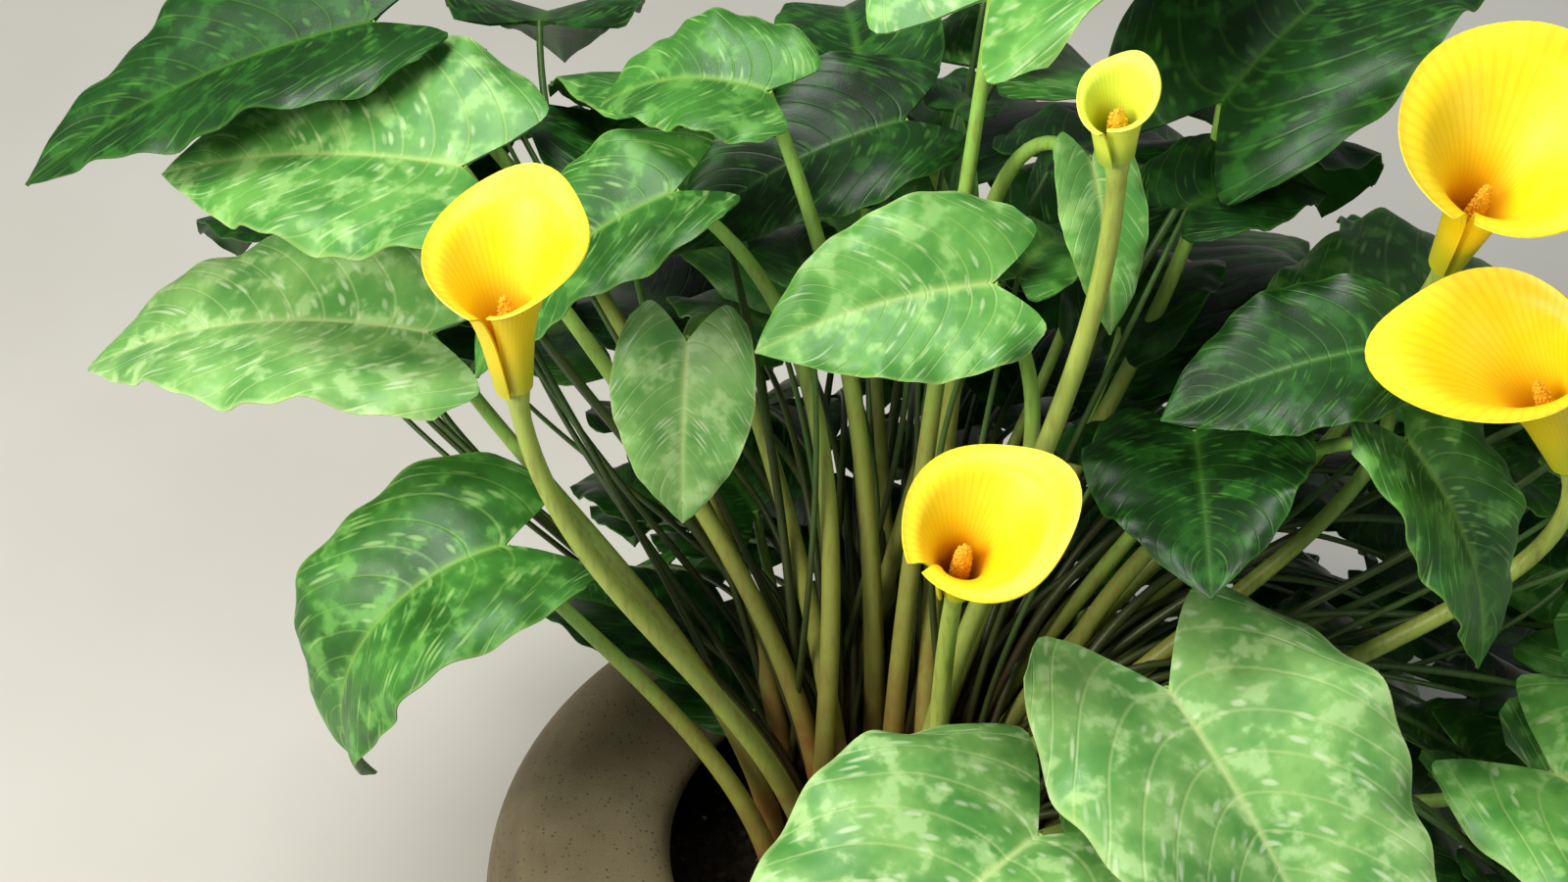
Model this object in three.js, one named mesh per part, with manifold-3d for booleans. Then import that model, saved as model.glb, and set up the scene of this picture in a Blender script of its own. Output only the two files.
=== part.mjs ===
// A calla lily in a round planter: broad arrow-shaped leaves on tall stems, yellow trumpet flowers
// and a half-open bud, all rising from one clump in the soil.
//
// Millimetres, +Z up. The origin is the middle of the planter's flat underside. Bearings are in
// degrees round the planter's axis: 0 is to the right, 90 is the far side, 270 is the near side.

import * as THREE from 'three';
import { mergeVertices } from 'three/addons/utils/BufferGeometryUtils.js';
import Module from 'manifold-3d';

const wasm = await Module();
wasm.setup();
const { Manifold, Mesh } = wasm;

// Planter: a bellied pot with a broad domed shoulder that closes in to a narrow mouth.
const BASE_RADIUS = 116;
const BELLY_RADIUS = 180;
const BELLY_HEIGHT = 214;
const BELLY_POWER = 2.2;
const WALL = 9;
const CREST_RADIUS = 138;
const CREST_HEIGHT = 248;
const MOUTH_RADIUS = 97;
const MOUTH_HEIGHT = 236;
const FOOT_ROUND = 4;
const POT_SIDES = 32;

// Soil: it fills the belly and leaves the shoulder hollow.
const SOIL_TOP = 196;
const SOIL_GAP = 0.35;
const WALL_STEPS = 6;

// Clearances between pieces that grow out of each other.
const ROOT_GAP = 0.3;
const SEAT_GAP = 0.2;

// Leaf stems: tapered tubes from the clump to the joint of each blade.
const CLUMP_RINGS = [15, 31, 48];
const STEM_FOOT = 5.2;
const STEM_HEAD = 3;
const STEM_SIDES = 6;
const STEM_STEPS = 7;
const STEM_RISE = 0.42;
const STEM_ARRIVE = 0.34;
const STEM_LEAN = 0.6;

// Blades: thin, arrow-shaped, drooping along the midrib and waved at the margin.
const BLADE_THICKNESS = 2.5;
const BLADE_ACROSS = 6;
const BLADE_ALONG = 8;
const LOBE_LENGTH = 0.2;
const LOBE_FADE = 0.55;
const LOBE_ROUND = 1.95;
const SHOULDER = 0.12;
const SHOULDER_POWER = 0.45;
const TIP_POWER = 0.95;
const TIP_HALF_WIDTH = 1.6;
const FOLD = 0.34;
const CURL = 0.2;
const WAVE_HEIGHT = 0.09;
const WAVES = 2.5;

// Flowers: a round stalk that runs on as the spadix, inside a spathe rolled round it.
const STALK_FOOT = 4.8;
const STALK_HEAD = 3.6;
const SPADIX_RADIUS = 4.2;
const STALK_SIDES = 6;
const STALK_STEPS = 12;
const SPATHE_THICKNESS = 1.6;
const SPATHE_CLEAR = 0.5;
const SPATHE_OVERLAP = 2.8;
const SPATHE_THROAT = 0.24;
const SPATHE_ACROSS = 12;
const SPATHE_ALONG = 6;

// Shoots: young leaves, smaller and lower than the rest, from a ring outside the clump.
const SHOOT_RING = 66;
const SHOOT_OUTER = 14;
const SHOOT_STAGGER = 40;
const SHOOT_STEM_FOOT = 3.6;
const SHOOT_STEM_HEAD = 2.2;
const SHOOT_ACROSS = 4;
const SHOOT_ALONG = 5;

// Colours of the finishes.
const COLOURS = {
  pot: '#675c44',
  soil: '#2b2219',
  pale: '#a4cd84',
  fresh: '#79ae62',
  green: '#5c9450',
  deep: '#375f30',
  stem: '#7f8a45',
  stalk: '#8c9648',
  yellow: '#f4cf2b',
  bud: '#cfd04a',
};

// Leaves. bearing, reach and height place the joint of stem and blade; heading is where the blade
// points; pitch is its slope at the joint and droop how far it bends down on the way to the tip;
// roll lifts its right-hand side. ring and root are the clump ring that the stem stands on and the
// bearing of its foot there.
const LEAVES = [
  { bearing: 177, reach: 160, height: 412, heading: 206, pitch: 6, droop: 128, roll: 6,
    length: 155, width: 98, ring: 2, root: 190, tone: 'green' },
  { bearing: 159, reach: 206, height: 470, heading: 166, pitch: 2, droop: 40, roll: 6,
    length: 172, width: 116, ring: 2, root: 170, tone: 'pale' },
  { bearing: 152, reach: 198, height: 540, heading: 164, pitch: 0, droop: 26, roll: 14,
    length: 140, width: 114, ring: 1, root: 145, tone: 'fresh' },
  { bearing: 143, reach: 272, height: 562, heading: 190, pitch: -8, droop: 30, roll: 4,
    length: 165, width: 104, ring: 2, root: 150, tone: 'deep' },
  { bearing: 154, reach: 94, height: 492, heading: 264, pitch: -52, droop: 38, roll: 0,
    length: 80, width: 58, ring: 0, root: 185, tone: 'fresh' },
  { bearing: 150, reach: 102, height: 558, heading: 196, pitch: -14, droop: 56, roll: 6,
    length: 115, width: 72, ring: 1, root: 180, tone: 'green' },
  { bearing: 125, reach: 92, height: 588, heading: 162, pitch: 10, droop: 56, roll: 14,
    length: 75, width: 64, ring: 1, root: 100, tone: 'fresh' },
  { bearing: 34, reach: 40, height: 536, heading: 190, pitch: 2, droop: 30, roll: 34,
    length: 95, width: 74, ring: 1, root: 65, tone: 'fresh' },
  { bearing: 30, reach: 80, height: 580, heading: 292, pitch: -50, droop: 36, roll: -8,
    length: 70, width: 34, ring: 0, root: 5, tone: 'fresh' },
  { bearing: 334, reach: 118, height: 390, heading: 300, pitch: -12, droop: 42, roll: 4,
    length: 190, width: 148, ring: 0, root: 320, tone: 'pale' },
  { bearing: 299, reach: 110, height: 354, heading: 226, pitch: 8, droop: 44, roll: 2,
    length: 190, width: 148, ring: 1, root: 245, tone: 'pale' },
  { bearing: 329, reach: 108, height: 326, heading: 290, pitch: 2, droop: 28, roll: 14,
    length: 150, width: 74, ring: 1, root: 335, tone: 'fresh' },
  { bearing: 352, reach: 276, height: 326, heading: 318, pitch: 0, droop: 48, roll: 0,
    length: 195, width: 128, ring: 2, root: 355, tone: 'fresh' },
  { bearing: 1, reach: 198, height: 472, heading: 320, pitch: -36, droop: 54, roll: 2,
    length: 110, width: 74, ring: 2, root: 10, tone: 'green' },
  { bearing: 7, reach: 182, height: 504, heading: 188, pitch: -6, droop: 26, roll: 20,
    length: 85, width: 66, ring: 1, root: 355, tone: 'green' },
  { bearing: 15, reach: 124, height: 452, heading: 268, pitch: 8, droop: 24, roll: -12,
    length: 90, width: 92, ring: 1, root: 45, tone: 'deep' },
  { bearing: 68, reach: 86, height: 628, heading: 48, pitch: 24, droop: 62, roll: 8,
    length: 185, width: 112, ring: 0, root: 90, tone: 'fresh' },
  { bearing: 39, reach: 164, height: 564, heading: 44, pitch: 30, droop: 68, roll: -2,
    length: 195, width: 118, ring: 2, root: 60, tone: 'deep' },
  { bearing: 89, reach: 122, height: 542, heading: 198, pitch: -4, droop: 40, roll: 16,
    length: 115, width: 74, ring: 2, root: 120, tone: 'deep' },
  { bearing: 24, reach: 230, height: 446, heading: 44, pitch: -2, droop: 62, roll: 0,
    length: 215, width: 130, ring: 2, root: 45, tone: 'green' },
  { bearing: 58, reach: 174, height: 418, heading: 58, pitch: 4, droop: 56, roll: -6,
    length: 215, width: 142, ring: 2, root: 80, tone: 'deep' },
  { bearing: 97, reach: 180, height: 440, heading: 106, pitch: 4, droop: 60, roll: 12,
    length: 215, width: 146, ring: 2, root: 95, tone: 'green' },
];

// Flowers. bearing, reach and height place the foot of the spathe; lean and tilt are where its
// axis leans and by how much; back is the bearing of its tall tipped side. open is how far the
// limb turns out from the axis and wrap how much of a full turn the sheet makes at its foot.
// spadix is how far the spadix stands in the throat.
const FLOWERS = [
  { bearing: 193, reach: 148, height: 532, lean: 180, tilt: 2, back: 70, open: 52, wrap: 1.06,
    length: 84, spadix: 42, ring: 1, root: 200, tone: 'yellow' },
  { bearing: 300, reach: 42, height: 431, lean: 275, tilt: 22, back: 30, open: 66, wrap: 1.06,
    length: 78, spadix: 40, ring: 1, root: 305, tone: 'yellow' },
  { bearing: 356, reach: 72, height: 616, lean: 245, tilt: 12, back: 60, open: 30, wrap: 1.08,
    length: 38, spadix: 21, ring: 0, root: 280, tone: 'bud' },
  { bearing: 14, reach: 221, height: 522, lean: 290, tilt: 18, back: 60, open: 80, wrap: 1.06,
    length: 108, spadix: 50, ring: 1, root: 25, tone: 'yellow' },
  { bearing: 1, reach: 262, height: 462, lean: 195, tilt: 26, back: 175, open: 60, wrap: 1.06,
    length: 108, spadix: 50, ring: 2, root: 340, tone: 'yellow' },
];

// Shoots: small young leaves that fan out round the clump, all from one foot. bearing is where the
// middle leaf stands and spread the angle from one leaf to the next; reach and height place the
// first joint.
const SHOOTS = [
  { root: 120, bearing: 118, spread: 26, count: 3, reach: 112, height: 296, length: 108, width: 68 },
  { root: 35, bearing: 40, spread: 26, count: 3, reach: 112, height: 296, length: 108, width: 68 },
  { root: 335, bearing: 328, spread: 26, count: 2, reach: 112, height: 262, length: 108, width: 62 },
  { root: 85, bearing: 76, spread: 36, count: 2, reach: 170, height: 480, length: 120, width: 76 },
];

const UP = new THREE.Vector3(0, 0, 1);
const radians = THREE.MathUtils.degToRad;

// A unit vector that points along a bearing on the level.
function level(bearing) {
  return new THREE.Vector3(Math.cos(radians(bearing)), Math.sin(radians(bearing)), 0);
}

function finish(tone, roughness) {
  return new THREE.MeshStandardMaterial({ color: COLOURS[tone], roughness, metalness: 0 });
}

function solid(name, geometry, tone, roughness) {
  const mesh = new THREE.Mesh(geometry, finish(tone, roughness));
  mesh.name = name;
  return mesh;
}

// The planter's outer radius at a height on its belly.
function bellyRadius(height) {
  const below = 1 - height / BELLY_HEIGHT;
  return BELLY_RADIUS - (BELLY_RADIUS - BASE_RADIUS) * below ** BELLY_POWER;
}

// Heights at which the inside of the wall and the side of the soil are both drawn.
function wallHeights() {
  const heights = [];
  for (let i = 0; i <= WALL_STEPS; i += 1) {
    heights.push(WALL + ((SOIL_TOP - WALL) * i) / WALL_STEPS);
  }
  return heights;
}

// Turns an outline of (radius, height) points round the vertical axis.
function turned(outline) {
  const geometry = new THREE.LatheGeometry(outline, POT_SIDES);
  return geometry.rotateX(Math.PI / 2);
}

function potGeometry() {
  const at = (radius, height) => new THREE.Vector2(radius, height);
  const outline = [at(0, 0), at(BASE_RADIUS - FOOT_ROUND, 0)];
  for (let i = 0; i <= WALL_STEPS; i += 1) {
    const height = FOOT_ROUND + ((BELLY_HEIGHT - FOOT_ROUND) * i) / WALL_STEPS;
    outline.push(at(bellyRadius(height), height));
  }
  const shoulder = new THREE.CubicBezierCurve(
    at(BELLY_RADIUS, BELLY_HEIGHT),
    at(BELLY_RADIUS, BELLY_HEIGHT + 20),
    at(CREST_RADIUS + 24, CREST_HEIGHT),
    at(CREST_RADIUS, CREST_HEIGHT),
  );
  const fall = new THREE.CubicBezierCurve(
    at(CREST_RADIUS, CREST_HEIGHT),
    at(CREST_RADIUS - 18, CREST_HEIGHT),
    at(MOUTH_RADIUS, MOUTH_HEIGHT + 9),
    at(MOUTH_RADIUS, MOUTH_HEIGHT),
  );
  const under = new THREE.CubicBezierCurve(
    at(MOUTH_RADIUS + 6, MOUTH_HEIGHT - 5),
    at(MOUTH_RADIUS + 18, MOUTH_HEIGHT),
    at(BELLY_RADIUS - WALL, CREST_HEIGHT - WALL + 2),
    at(BELLY_RADIUS - WALL, BELLY_HEIGHT),
  );
  outline.push(...shoulder.getPoints(5).slice(1));
  outline.push(...fall.getPoints(4).slice(1));
  outline.push(...under.getPoints(5));
  for (const height of wallHeights().reverse()) {
    outline.push(at(bellyRadius(height) - WALL, height));
  }
  outline.push(at(0, WALL));
  return turned(outline);
}

function soilGeometry() {
  const heights = wallHeights();
  const foot = WALL + SOIL_GAP;
  const outline = [new THREE.Vector2(0, foot)];
  for (const height of heights) {
    const radius = bellyRadius(height) - WALL - SOIL_GAP;
    outline.push(new THREE.Vector2(radius, Math.max(height, foot)));
  }
  outline.push(new THREE.Vector2(0, SOIL_TOP));
  return turned(outline);
}

// Splits the cells of a box's far face along the same diagonals as those of its near face, so that
// a sheet made from it keeps its thickness where it twists.
function alignDiagonals(geometry) {
  const index = geometry.index.array;
  const { start, count } = geometry.groups[5];
  for (let k = start; k < start + count; k += 6) {
    const [a, b, d, , c] = index.slice(k, k + 5);
    index.set([a, b, c, a, c, d], k);
  }
}

// A closed thin sheet over surface(s, t), with s from 0 to 1 along it and t from -1 to 1 across.
// The two broad faces of a box carry the sheet's faces and its narrow sides close the margin.
function sheet(across, along, thickness, surface) {
  const geometry = new THREE.BoxGeometry(2, 1, 1, across, along, 1);
  alignDiagonals(geometry);
  const position = geometry.attributes.position;
  const step = 1e-3;
  for (let i = 0; i < position.count; i += 1) {
    const t = position.getX(i);
    const s = position.getY(i) + 0.5;
    const face = position.getZ(i);
    const right = surface(s, Math.min(t + step, 1)).sub(surface(s, Math.max(t - step, -1)));
    const ahead = surface(Math.min(s + step, 1), t).sub(surface(Math.max(s - step, 0), t));
    const point = surface(s, t).addScaledVector(right.cross(ahead).normalize(), face * thickness);
    position.setXYZ(i, point.x, point.y, point.z);
  }
  geometry.computeVertexNormals();
  return geometry;
}

// A closed round rod along curve(s), s from 0 to 1, with its own radius at each s.
function rod(sides, steps, curve, radiusAt, sideways) {
  const geometry = new THREE.CylinderGeometry(1, 1, 1, sides, steps);
  const position = geometry.attributes.position;
  const step = 1e-3;
  for (let i = 0; i < position.count; i += 1) {
    const s = position.getY(i) + 0.5;
    const ahead = curve(Math.min(s + step, 1)).sub(curve(Math.max(s - step, 0))).normalize();
    const out = new THREE.Vector3().crossVectors(sideways, ahead).normalize();
    const over = new THREE.Vector3().crossVectors(out, ahead);
    const radius = radiusAt(s);
    const point = curve(s)
      .addScaledVector(out, position.getX(i) * radius)
      .addScaledVector(over, position.getZ(i) * radius);
    position.setXYZ(i, point.x, point.y, point.z);
  }
  geometry.computeVertexNormals();
  return geometry;
}

// The direction of travel and the upward normal of a blade, distance millimetres from its joint.
function bladeFrame(leaf, distance) {
  const slope = radians(leaf.pitch - (leaf.droop * distance) / leaf.length);
  const roll = radians(leaf.roll);
  const heading = level(leaf.heading);
  const ahead = heading.clone().multiplyScalar(Math.cos(slope)).addScaledVector(UP, Math.sin(slope));
  const upright = heading.multiplyScalar(-Math.sin(slope)).addScaledVector(UP, Math.cos(slope));
  const right = new THREE.Vector3().crossVectors(ahead, upright);
  const normal = upright.clone().multiplyScalar(Math.cos(roll)).addScaledVector(right, -Math.sin(roll));
  right.multiplyScalar(Math.cos(roll)).addScaledVector(upright, Math.sin(roll));
  return { ahead, right, normal, upright };
}

function jointOf(leaf) {
  return level(leaf.bearing).multiplyScalar(leaf.reach).setZ(leaf.height);
}

// A point of the midrib, which is an arc in the upright plane of the blade's heading.
function midrib(leaf, distance) {
  const start = radians(leaf.pitch);
  const bend = radians(leaf.droop) / leaf.length;
  const slope = start - bend * distance;
  const out = (Math.sin(start) - Math.sin(slope)) / bend;
  const rise = (Math.cos(slope) - Math.cos(start)) / bend;
  return jointOf(leaf).addScaledVector(level(leaf.heading), out).addScaledVector(UP, rise);
}

// Half the width of a blade at s, before its lobes are swept back.
function halfWidth(leaf, s) {
  const shape = (x) => (x + SHOULDER) ** SHOULDER_POWER * (1 - x) ** TIP_POWER;
  const widest = (SHOULDER_POWER - SHOULDER * TIP_POWER) / (SHOULDER_POWER + TIP_POWER);
  return Math.max(TIP_HALF_WIDTH, (leaf.width / 2) * (shape(s) / shape(widest)));
}

function bladeSurface(leaf, index) {
  return (s, t) => {
    const side = Math.abs(t);
    const fade = Math.max(0, 1 - s / LOBE_FADE);
    const swept = LOBE_LENGTH * leaf.length * fade ** 2 * Math.sin(side * LOBE_ROUND);
    const distance = s * leaf.length - swept;
    const half = halfWidth(leaf, s);
    const phase = 2 * Math.PI * (WAVES * s + 0.37 * index) + (t > 0 ? 0 : 2);
    const wave = WAVE_HEIGHT * half * side ** 3 * Math.sin(phase);
    const lift = half * (FOLD * side ** 1.3 - CURL * side ** 4) + wave;
    const frame = bladeFrame(leaf, distance);
    return midrib(leaf, distance)
      .addScaledVector(frame.right, half * t)
      .addScaledVector(frame.normal, lift);
  };
}

function bezier(from, leave, arrive, to) {
  const curve = new THREE.CubicBezierCurve3(from, leave, arrive, to);
  return (s) => curve.getPoint(s);
}

// Where a stem stands on the soil: on its ring of the clump, at the bearing of its root.
function rootOf(row) {
  return level(row.root).multiplyScalar(CLUMP_RINGS[row.ring]).setZ(SOIL_TOP + ROOT_GAP);
}

// The direction in which a stem arrives under its blade, and the gap that leaves it clear.
function stemArrival(leaf) {
  const frame = bladeFrame(leaf, 0);
  const arrival = frame.upright.clone().addScaledVector(frame.ahead, STEM_LEAN).normalize();
  const skew = Math.sqrt(Math.max(0, 1 - arrival.dot(frame.normal) ** 2));
  const flat = STEM_HEAD * Math.cos(Math.PI / STEM_SIDES);
  const below = BLADE_THICKNESS / 2 + SEAT_GAP + flat * skew;
  return { arrival, head: jointOf(leaf).addScaledVector(frame.normal, -below) };
}

// A leaf stem rises upright from the soil and arrives under the joint of its blade.
function stemGeometry(leaf) {
  const { arrival, head } = stemArrival(leaf);
  const foot = rootOf(leaf);
  const span = foot.distanceTo(head);
  const curve = bezier(
    foot,
    foot.clone().addScaledVector(UP, STEM_RISE * span),
    head.clone().addScaledVector(arrival, -STEM_ARRIVE * span),
    head,
  );
  const radiusAt = (s) => STEM_FOOT + (STEM_HEAD - STEM_FOOT) * s;
  const sideways = new THREE.Vector3().crossVectors(UP, level(leaf.bearing));
  return rod(STEM_SIDES, STEM_STEPS, curve, radiusAt, sideways);
}

// The axis of a flower, and the level direction of its tall tipped side.
function flowerFrame(flower) {
  const tilt = radians(flower.tilt);
  const axis = level(flower.lean).multiplyScalar(Math.sin(tilt)).addScaledVector(UP, Math.cos(tilt));
  const side = new THREE.Vector3().crossVectors(axis, level(flower.back)).normalize();
  const back = new THREE.Vector3().crossVectors(side, axis);
  const seat = level(flower.bearing).multiplyScalar(flower.reach).setZ(flower.height);
  return { axis, side, back, seat };
}

// The stalk bends up to the foot of the spathe, then runs on straight as the round-ended spadix.
function stalkGeometry(flower) {
  const frame = flowerFrame(flower);
  const foot = rootOf(flower);
  const span = foot.distanceTo(frame.seat);
  const bend = bezier(
    foot,
    foot.clone().addScaledVector(UP, STEM_RISE * span),
    frame.seat.clone().addScaledVector(frame.axis, -STEM_ARRIVE * span),
    frame.seat,
  );
  const share = 0.75;
  const inside = (s) => (s - share) / (1 - share);
  const curve = (s) => (s <= share
    ? bend(s / share)
    : frame.seat.clone().addScaledVector(frame.axis, flower.spadix * inside(s)));
  const radiusAt = (s) => (s <= share
    ? STALK_FOOT + ((STALK_HEAD - STALK_FOOT) * s) / share
    : STALK_HEAD + (SPADIX_RADIUS * Math.sqrt(1.02 - inside(s) ** 3) - STALK_HEAD)
      * Math.min(1, 3 * inside(s)));
  const sideways = new THREE.Vector3().crossVectors(UP, level(flower.bearing));
  return rod(STALK_SIDES, STALK_STEPS, curve, radiusAt, sideways);
}

// The spathe: a straight throat, then a limb that turns out, tallest at the back, with one margin
// lapped over the other at the front.
function spatheSurface(flower) {
  const frame = flowerFrame(flower);
  const throat = SPATHE_THROAT * flower.length;
  const start = radians(7);
  const bend = (radians(flower.open) - start) / (flower.length - throat);
  const foot = STALK_HEAD + SPATHE_CLEAR + (SPATHE_THICKNESS + SPATHE_OVERLAP) / 2;
  return (s, t) => {
    const tall = 0.62 + 0.3 * Math.cos((t * Math.PI) / 2) ** 1.5 + 0.08 * Math.exp(-((t / 0.16) ** 2));
    const distance = s * flower.length * tall;
    const turn = Math.max(0, distance - throat) * bend;
    const plain = Math.min(distance, throat);
    const out = foot + Math.sin(start) * plain + (Math.cos(start) - Math.cos(start + turn)) / bend;
    const rise = Math.cos(start) * plain + (Math.sin(start + turn) - Math.sin(start)) / bend;
    const angle = t * Math.PI * (flower.wrap - 0.1 * s);
    const radius = out + (SPATHE_OVERLAP / 2) * t;
    return frame.seat.clone()
      .addScaledVector(frame.axis, rise)
      .addScaledVector(frame.back, radius * Math.cos(angle))
      .addScaledVector(frame.side, radius * Math.sin(angle));
  };
}

// The leaves of a shoot, spread round its bearing with every second one longer in the stem.
function shootLeaves(shoot) {
  const leaves = [];
  for (let k = 0; k < shoot.count; k += 1) {
    const bearing = shoot.bearing + shoot.spread * (k - (shoot.count - 1) / 2);
    const odd = k % 2;
    leaves.push({
      bearing,
      reach: shoot.reach + SHOOT_OUTER * odd,
      height: shoot.height + SHOOT_STAGGER * odd,
      heading: bearing,
      pitch: 10,
      droop: 58,
      roll: odd ? 8 : -8,
      length: shoot.length,
      width: shoot.width,
    });
  }
  return leaves;
}

function manifoldOf(geometry) {
  const plain = new THREE.BufferGeometry();
  plain.setAttribute('position', geometry.toNonIndexed().getAttribute('position'));
  const merged = mergeVertices(plain, 1e-3);
  return new Manifold(new Mesh({
    numProp: 3,
    vertProperties: merged.attributes.position.array,
    triVerts: new Uint32Array(merged.index.array),
  }));
}

function geometryOf(manifold) {
  const mesh = manifold.getMesh();
  const geometry = new THREE.BufferGeometry();
  geometry.setAttribute('position', new THREE.BufferAttribute(mesh.vertProperties, 3));
  geometry.setIndex(new THREE.BufferAttribute(mesh.triVerts, 1));
  geometry.computeVertexNormals();
  return geometry;
}

// A shoot is one solid: its stems leave one foot together and run into their blades.
function shootGeometry(shoot) {
  const foot = level(shoot.root).multiplyScalar(SHOOT_RING).setZ(SOIL_TOP + ROOT_GAP);
  const pieces = [];
  shootLeaves(shoot).forEach((leaf, k) => {
    const head = jointOf(leaf);
    const { arrival } = stemArrival(leaf);
    const span = foot.distanceTo(head);
    const curve = bezier(
      foot,
      foot.clone().addScaledVector(UP, STEM_RISE * span),
      head.clone().addScaledVector(arrival, -STEM_ARRIVE * span),
      head,
    );
    const radiusAt = (s) => SHOOT_STEM_FOOT + (SHOOT_STEM_HEAD - SHOOT_STEM_FOOT) * s;
    const sideways = new THREE.Vector3().crossVectors(UP, level(leaf.bearing));
    pieces.push(manifoldOf(rod(STEM_SIDES, SHOOT_ALONG, curve, radiusAt, sideways)));
    pieces.push(manifoldOf(sheet(SHOOT_ACROSS, SHOOT_ALONG, BLADE_THICKNESS, bladeSurface(leaf, k))));
  });
  return geometryOf(Manifold.union(pieces));
}

function numbered(word, index) {
  return `${word}_${String(index + 1).padStart(2, '0')}`;
}

const plant = new THREE.Group();
plant.name = 'potted_calla_lily';
plant.add(solid('pot', potGeometry(), 'pot', 0.8));
plant.add(solid('soil', soilGeometry(), 'soil', 0.95));

LEAVES.forEach((leaf, index) => {
  const blade = sheet(BLADE_ACROSS, BLADE_ALONG, BLADE_THICKNESS, bladeSurface(leaf, index));
  plant.add(solid(numbered('leaf_stem', index), stemGeometry(leaf), 'stem', 0.55));
  plant.add(solid(numbered('blade', index), blade, leaf.tone, 0.5));
});

FLOWERS.forEach((flower, index) => {
  const spathe = sheet(SPATHE_ACROSS, SPATHE_ALONG, SPATHE_THICKNESS, spatheSurface(flower));
  plant.add(solid(numbered('flower_stalk', index), stalkGeometry(flower), 'stalk', 0.55));
  plant.add(solid(numbered('spathe', index), spathe, flower.tone, 0.5));
});

SHOOTS.forEach((shoot, index) => {
  plant.add(solid(numbered('shoot', index), shootGeometry(shoot), 'deep', 0.5));
});

export default plant;
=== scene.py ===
"""Finished look of a potted calla lily, built round the solids of the frame.

A bellied stoneware planter holds dark compost. From one clump in it rise tall leaf stems with
arrow-shaped, silver-flecked blades, flower stalks with yellow spathes rolled round their
spadices, and low shoots of young leaves. Sizes are millimetres and turn into metres where a mesh
is made. Bearings are degrees round the planter's axis: 0 is to the right, 90 is the far side and
270 is the near side.
"""

import itertools
import logging
import math
from collections.abc import Iterator, Sequence
from dataclasses import dataclass, field
from enum import Enum

import bpy
import numpy as np
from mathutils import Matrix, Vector


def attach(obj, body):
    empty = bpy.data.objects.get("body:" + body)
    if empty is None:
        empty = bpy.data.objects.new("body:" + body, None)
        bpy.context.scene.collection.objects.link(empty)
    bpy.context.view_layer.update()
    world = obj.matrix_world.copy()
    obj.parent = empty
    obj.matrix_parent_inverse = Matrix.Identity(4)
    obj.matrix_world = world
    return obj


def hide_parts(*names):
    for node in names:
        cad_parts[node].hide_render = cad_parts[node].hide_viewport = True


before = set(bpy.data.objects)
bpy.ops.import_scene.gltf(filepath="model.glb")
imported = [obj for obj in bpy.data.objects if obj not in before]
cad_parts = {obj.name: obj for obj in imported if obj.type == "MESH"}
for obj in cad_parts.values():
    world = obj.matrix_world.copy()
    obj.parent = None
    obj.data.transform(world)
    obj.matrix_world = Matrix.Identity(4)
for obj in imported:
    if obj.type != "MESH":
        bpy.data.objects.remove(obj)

LOG = logging.getLogger("calla")
MM = 0.001
UP = np.array([0.0, 0.0, 1.0])
BODY = "root"

# The output socket of a node, the two ends of a range, and a place or direction in space.
Socket = tuple[bpy.types.Node, str | int]
Span = tuple[float, float]
Place = tuple[float, float, float]


class Tone(Enum):
    """Copies of one leaf green with light and shade painted into their colours, from sunlit to shaded."""

    SUNLIT = "pale"
    FRESH = "fresh"
    GREEN = "green"
    PAINTED_SHADE = "deep"


class Bloom(Enum):
    """The two stages of flower on the plant."""

    OPEN = "yellow"
    BUD = "bud"


@dataclass(frozen=True)
class Leaf:
    """One leaf. bearing, reach and height place the joint of stem and blade; the blade points along
    heading, slopes by pitch at the joint, bends down by droop on the way to its tip and lifts its
    right side by roll. ring and root place the foot of the stem in the clump."""

    bearing: float
    reach: float
    height: float
    heading: float
    pitch: float
    droop: float
    roll: float
    length: float
    width: float
    ring: int = 0
    root: float = 0.0
    tone: Tone = Tone.PAINTED_SHADE


@dataclass(frozen=True)
class Flower:
    """One flower. bearing, reach and height place the foot of the spathe; its axis leans along lean
    by tilt; back is the bearing of its tall tipped side; the limb turns out to open degrees."""

    bearing: float
    reach: float
    height: float
    lean: float
    tilt: float
    back: float
    open: float
    wrap: float
    length: float
    spadix: float
    ring: int
    root: float
    bloom: Bloom


@dataclass(frozen=True)
class Shoot:
    """A fan of young leaves from one foot: its middle leaf stands at bearing, the rest spread from
    it, and reach and height place the first joint."""

    root: float
    bearing: float
    spread: float
    count: int
    reach: float
    height: float
    length: float
    width: float


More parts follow.
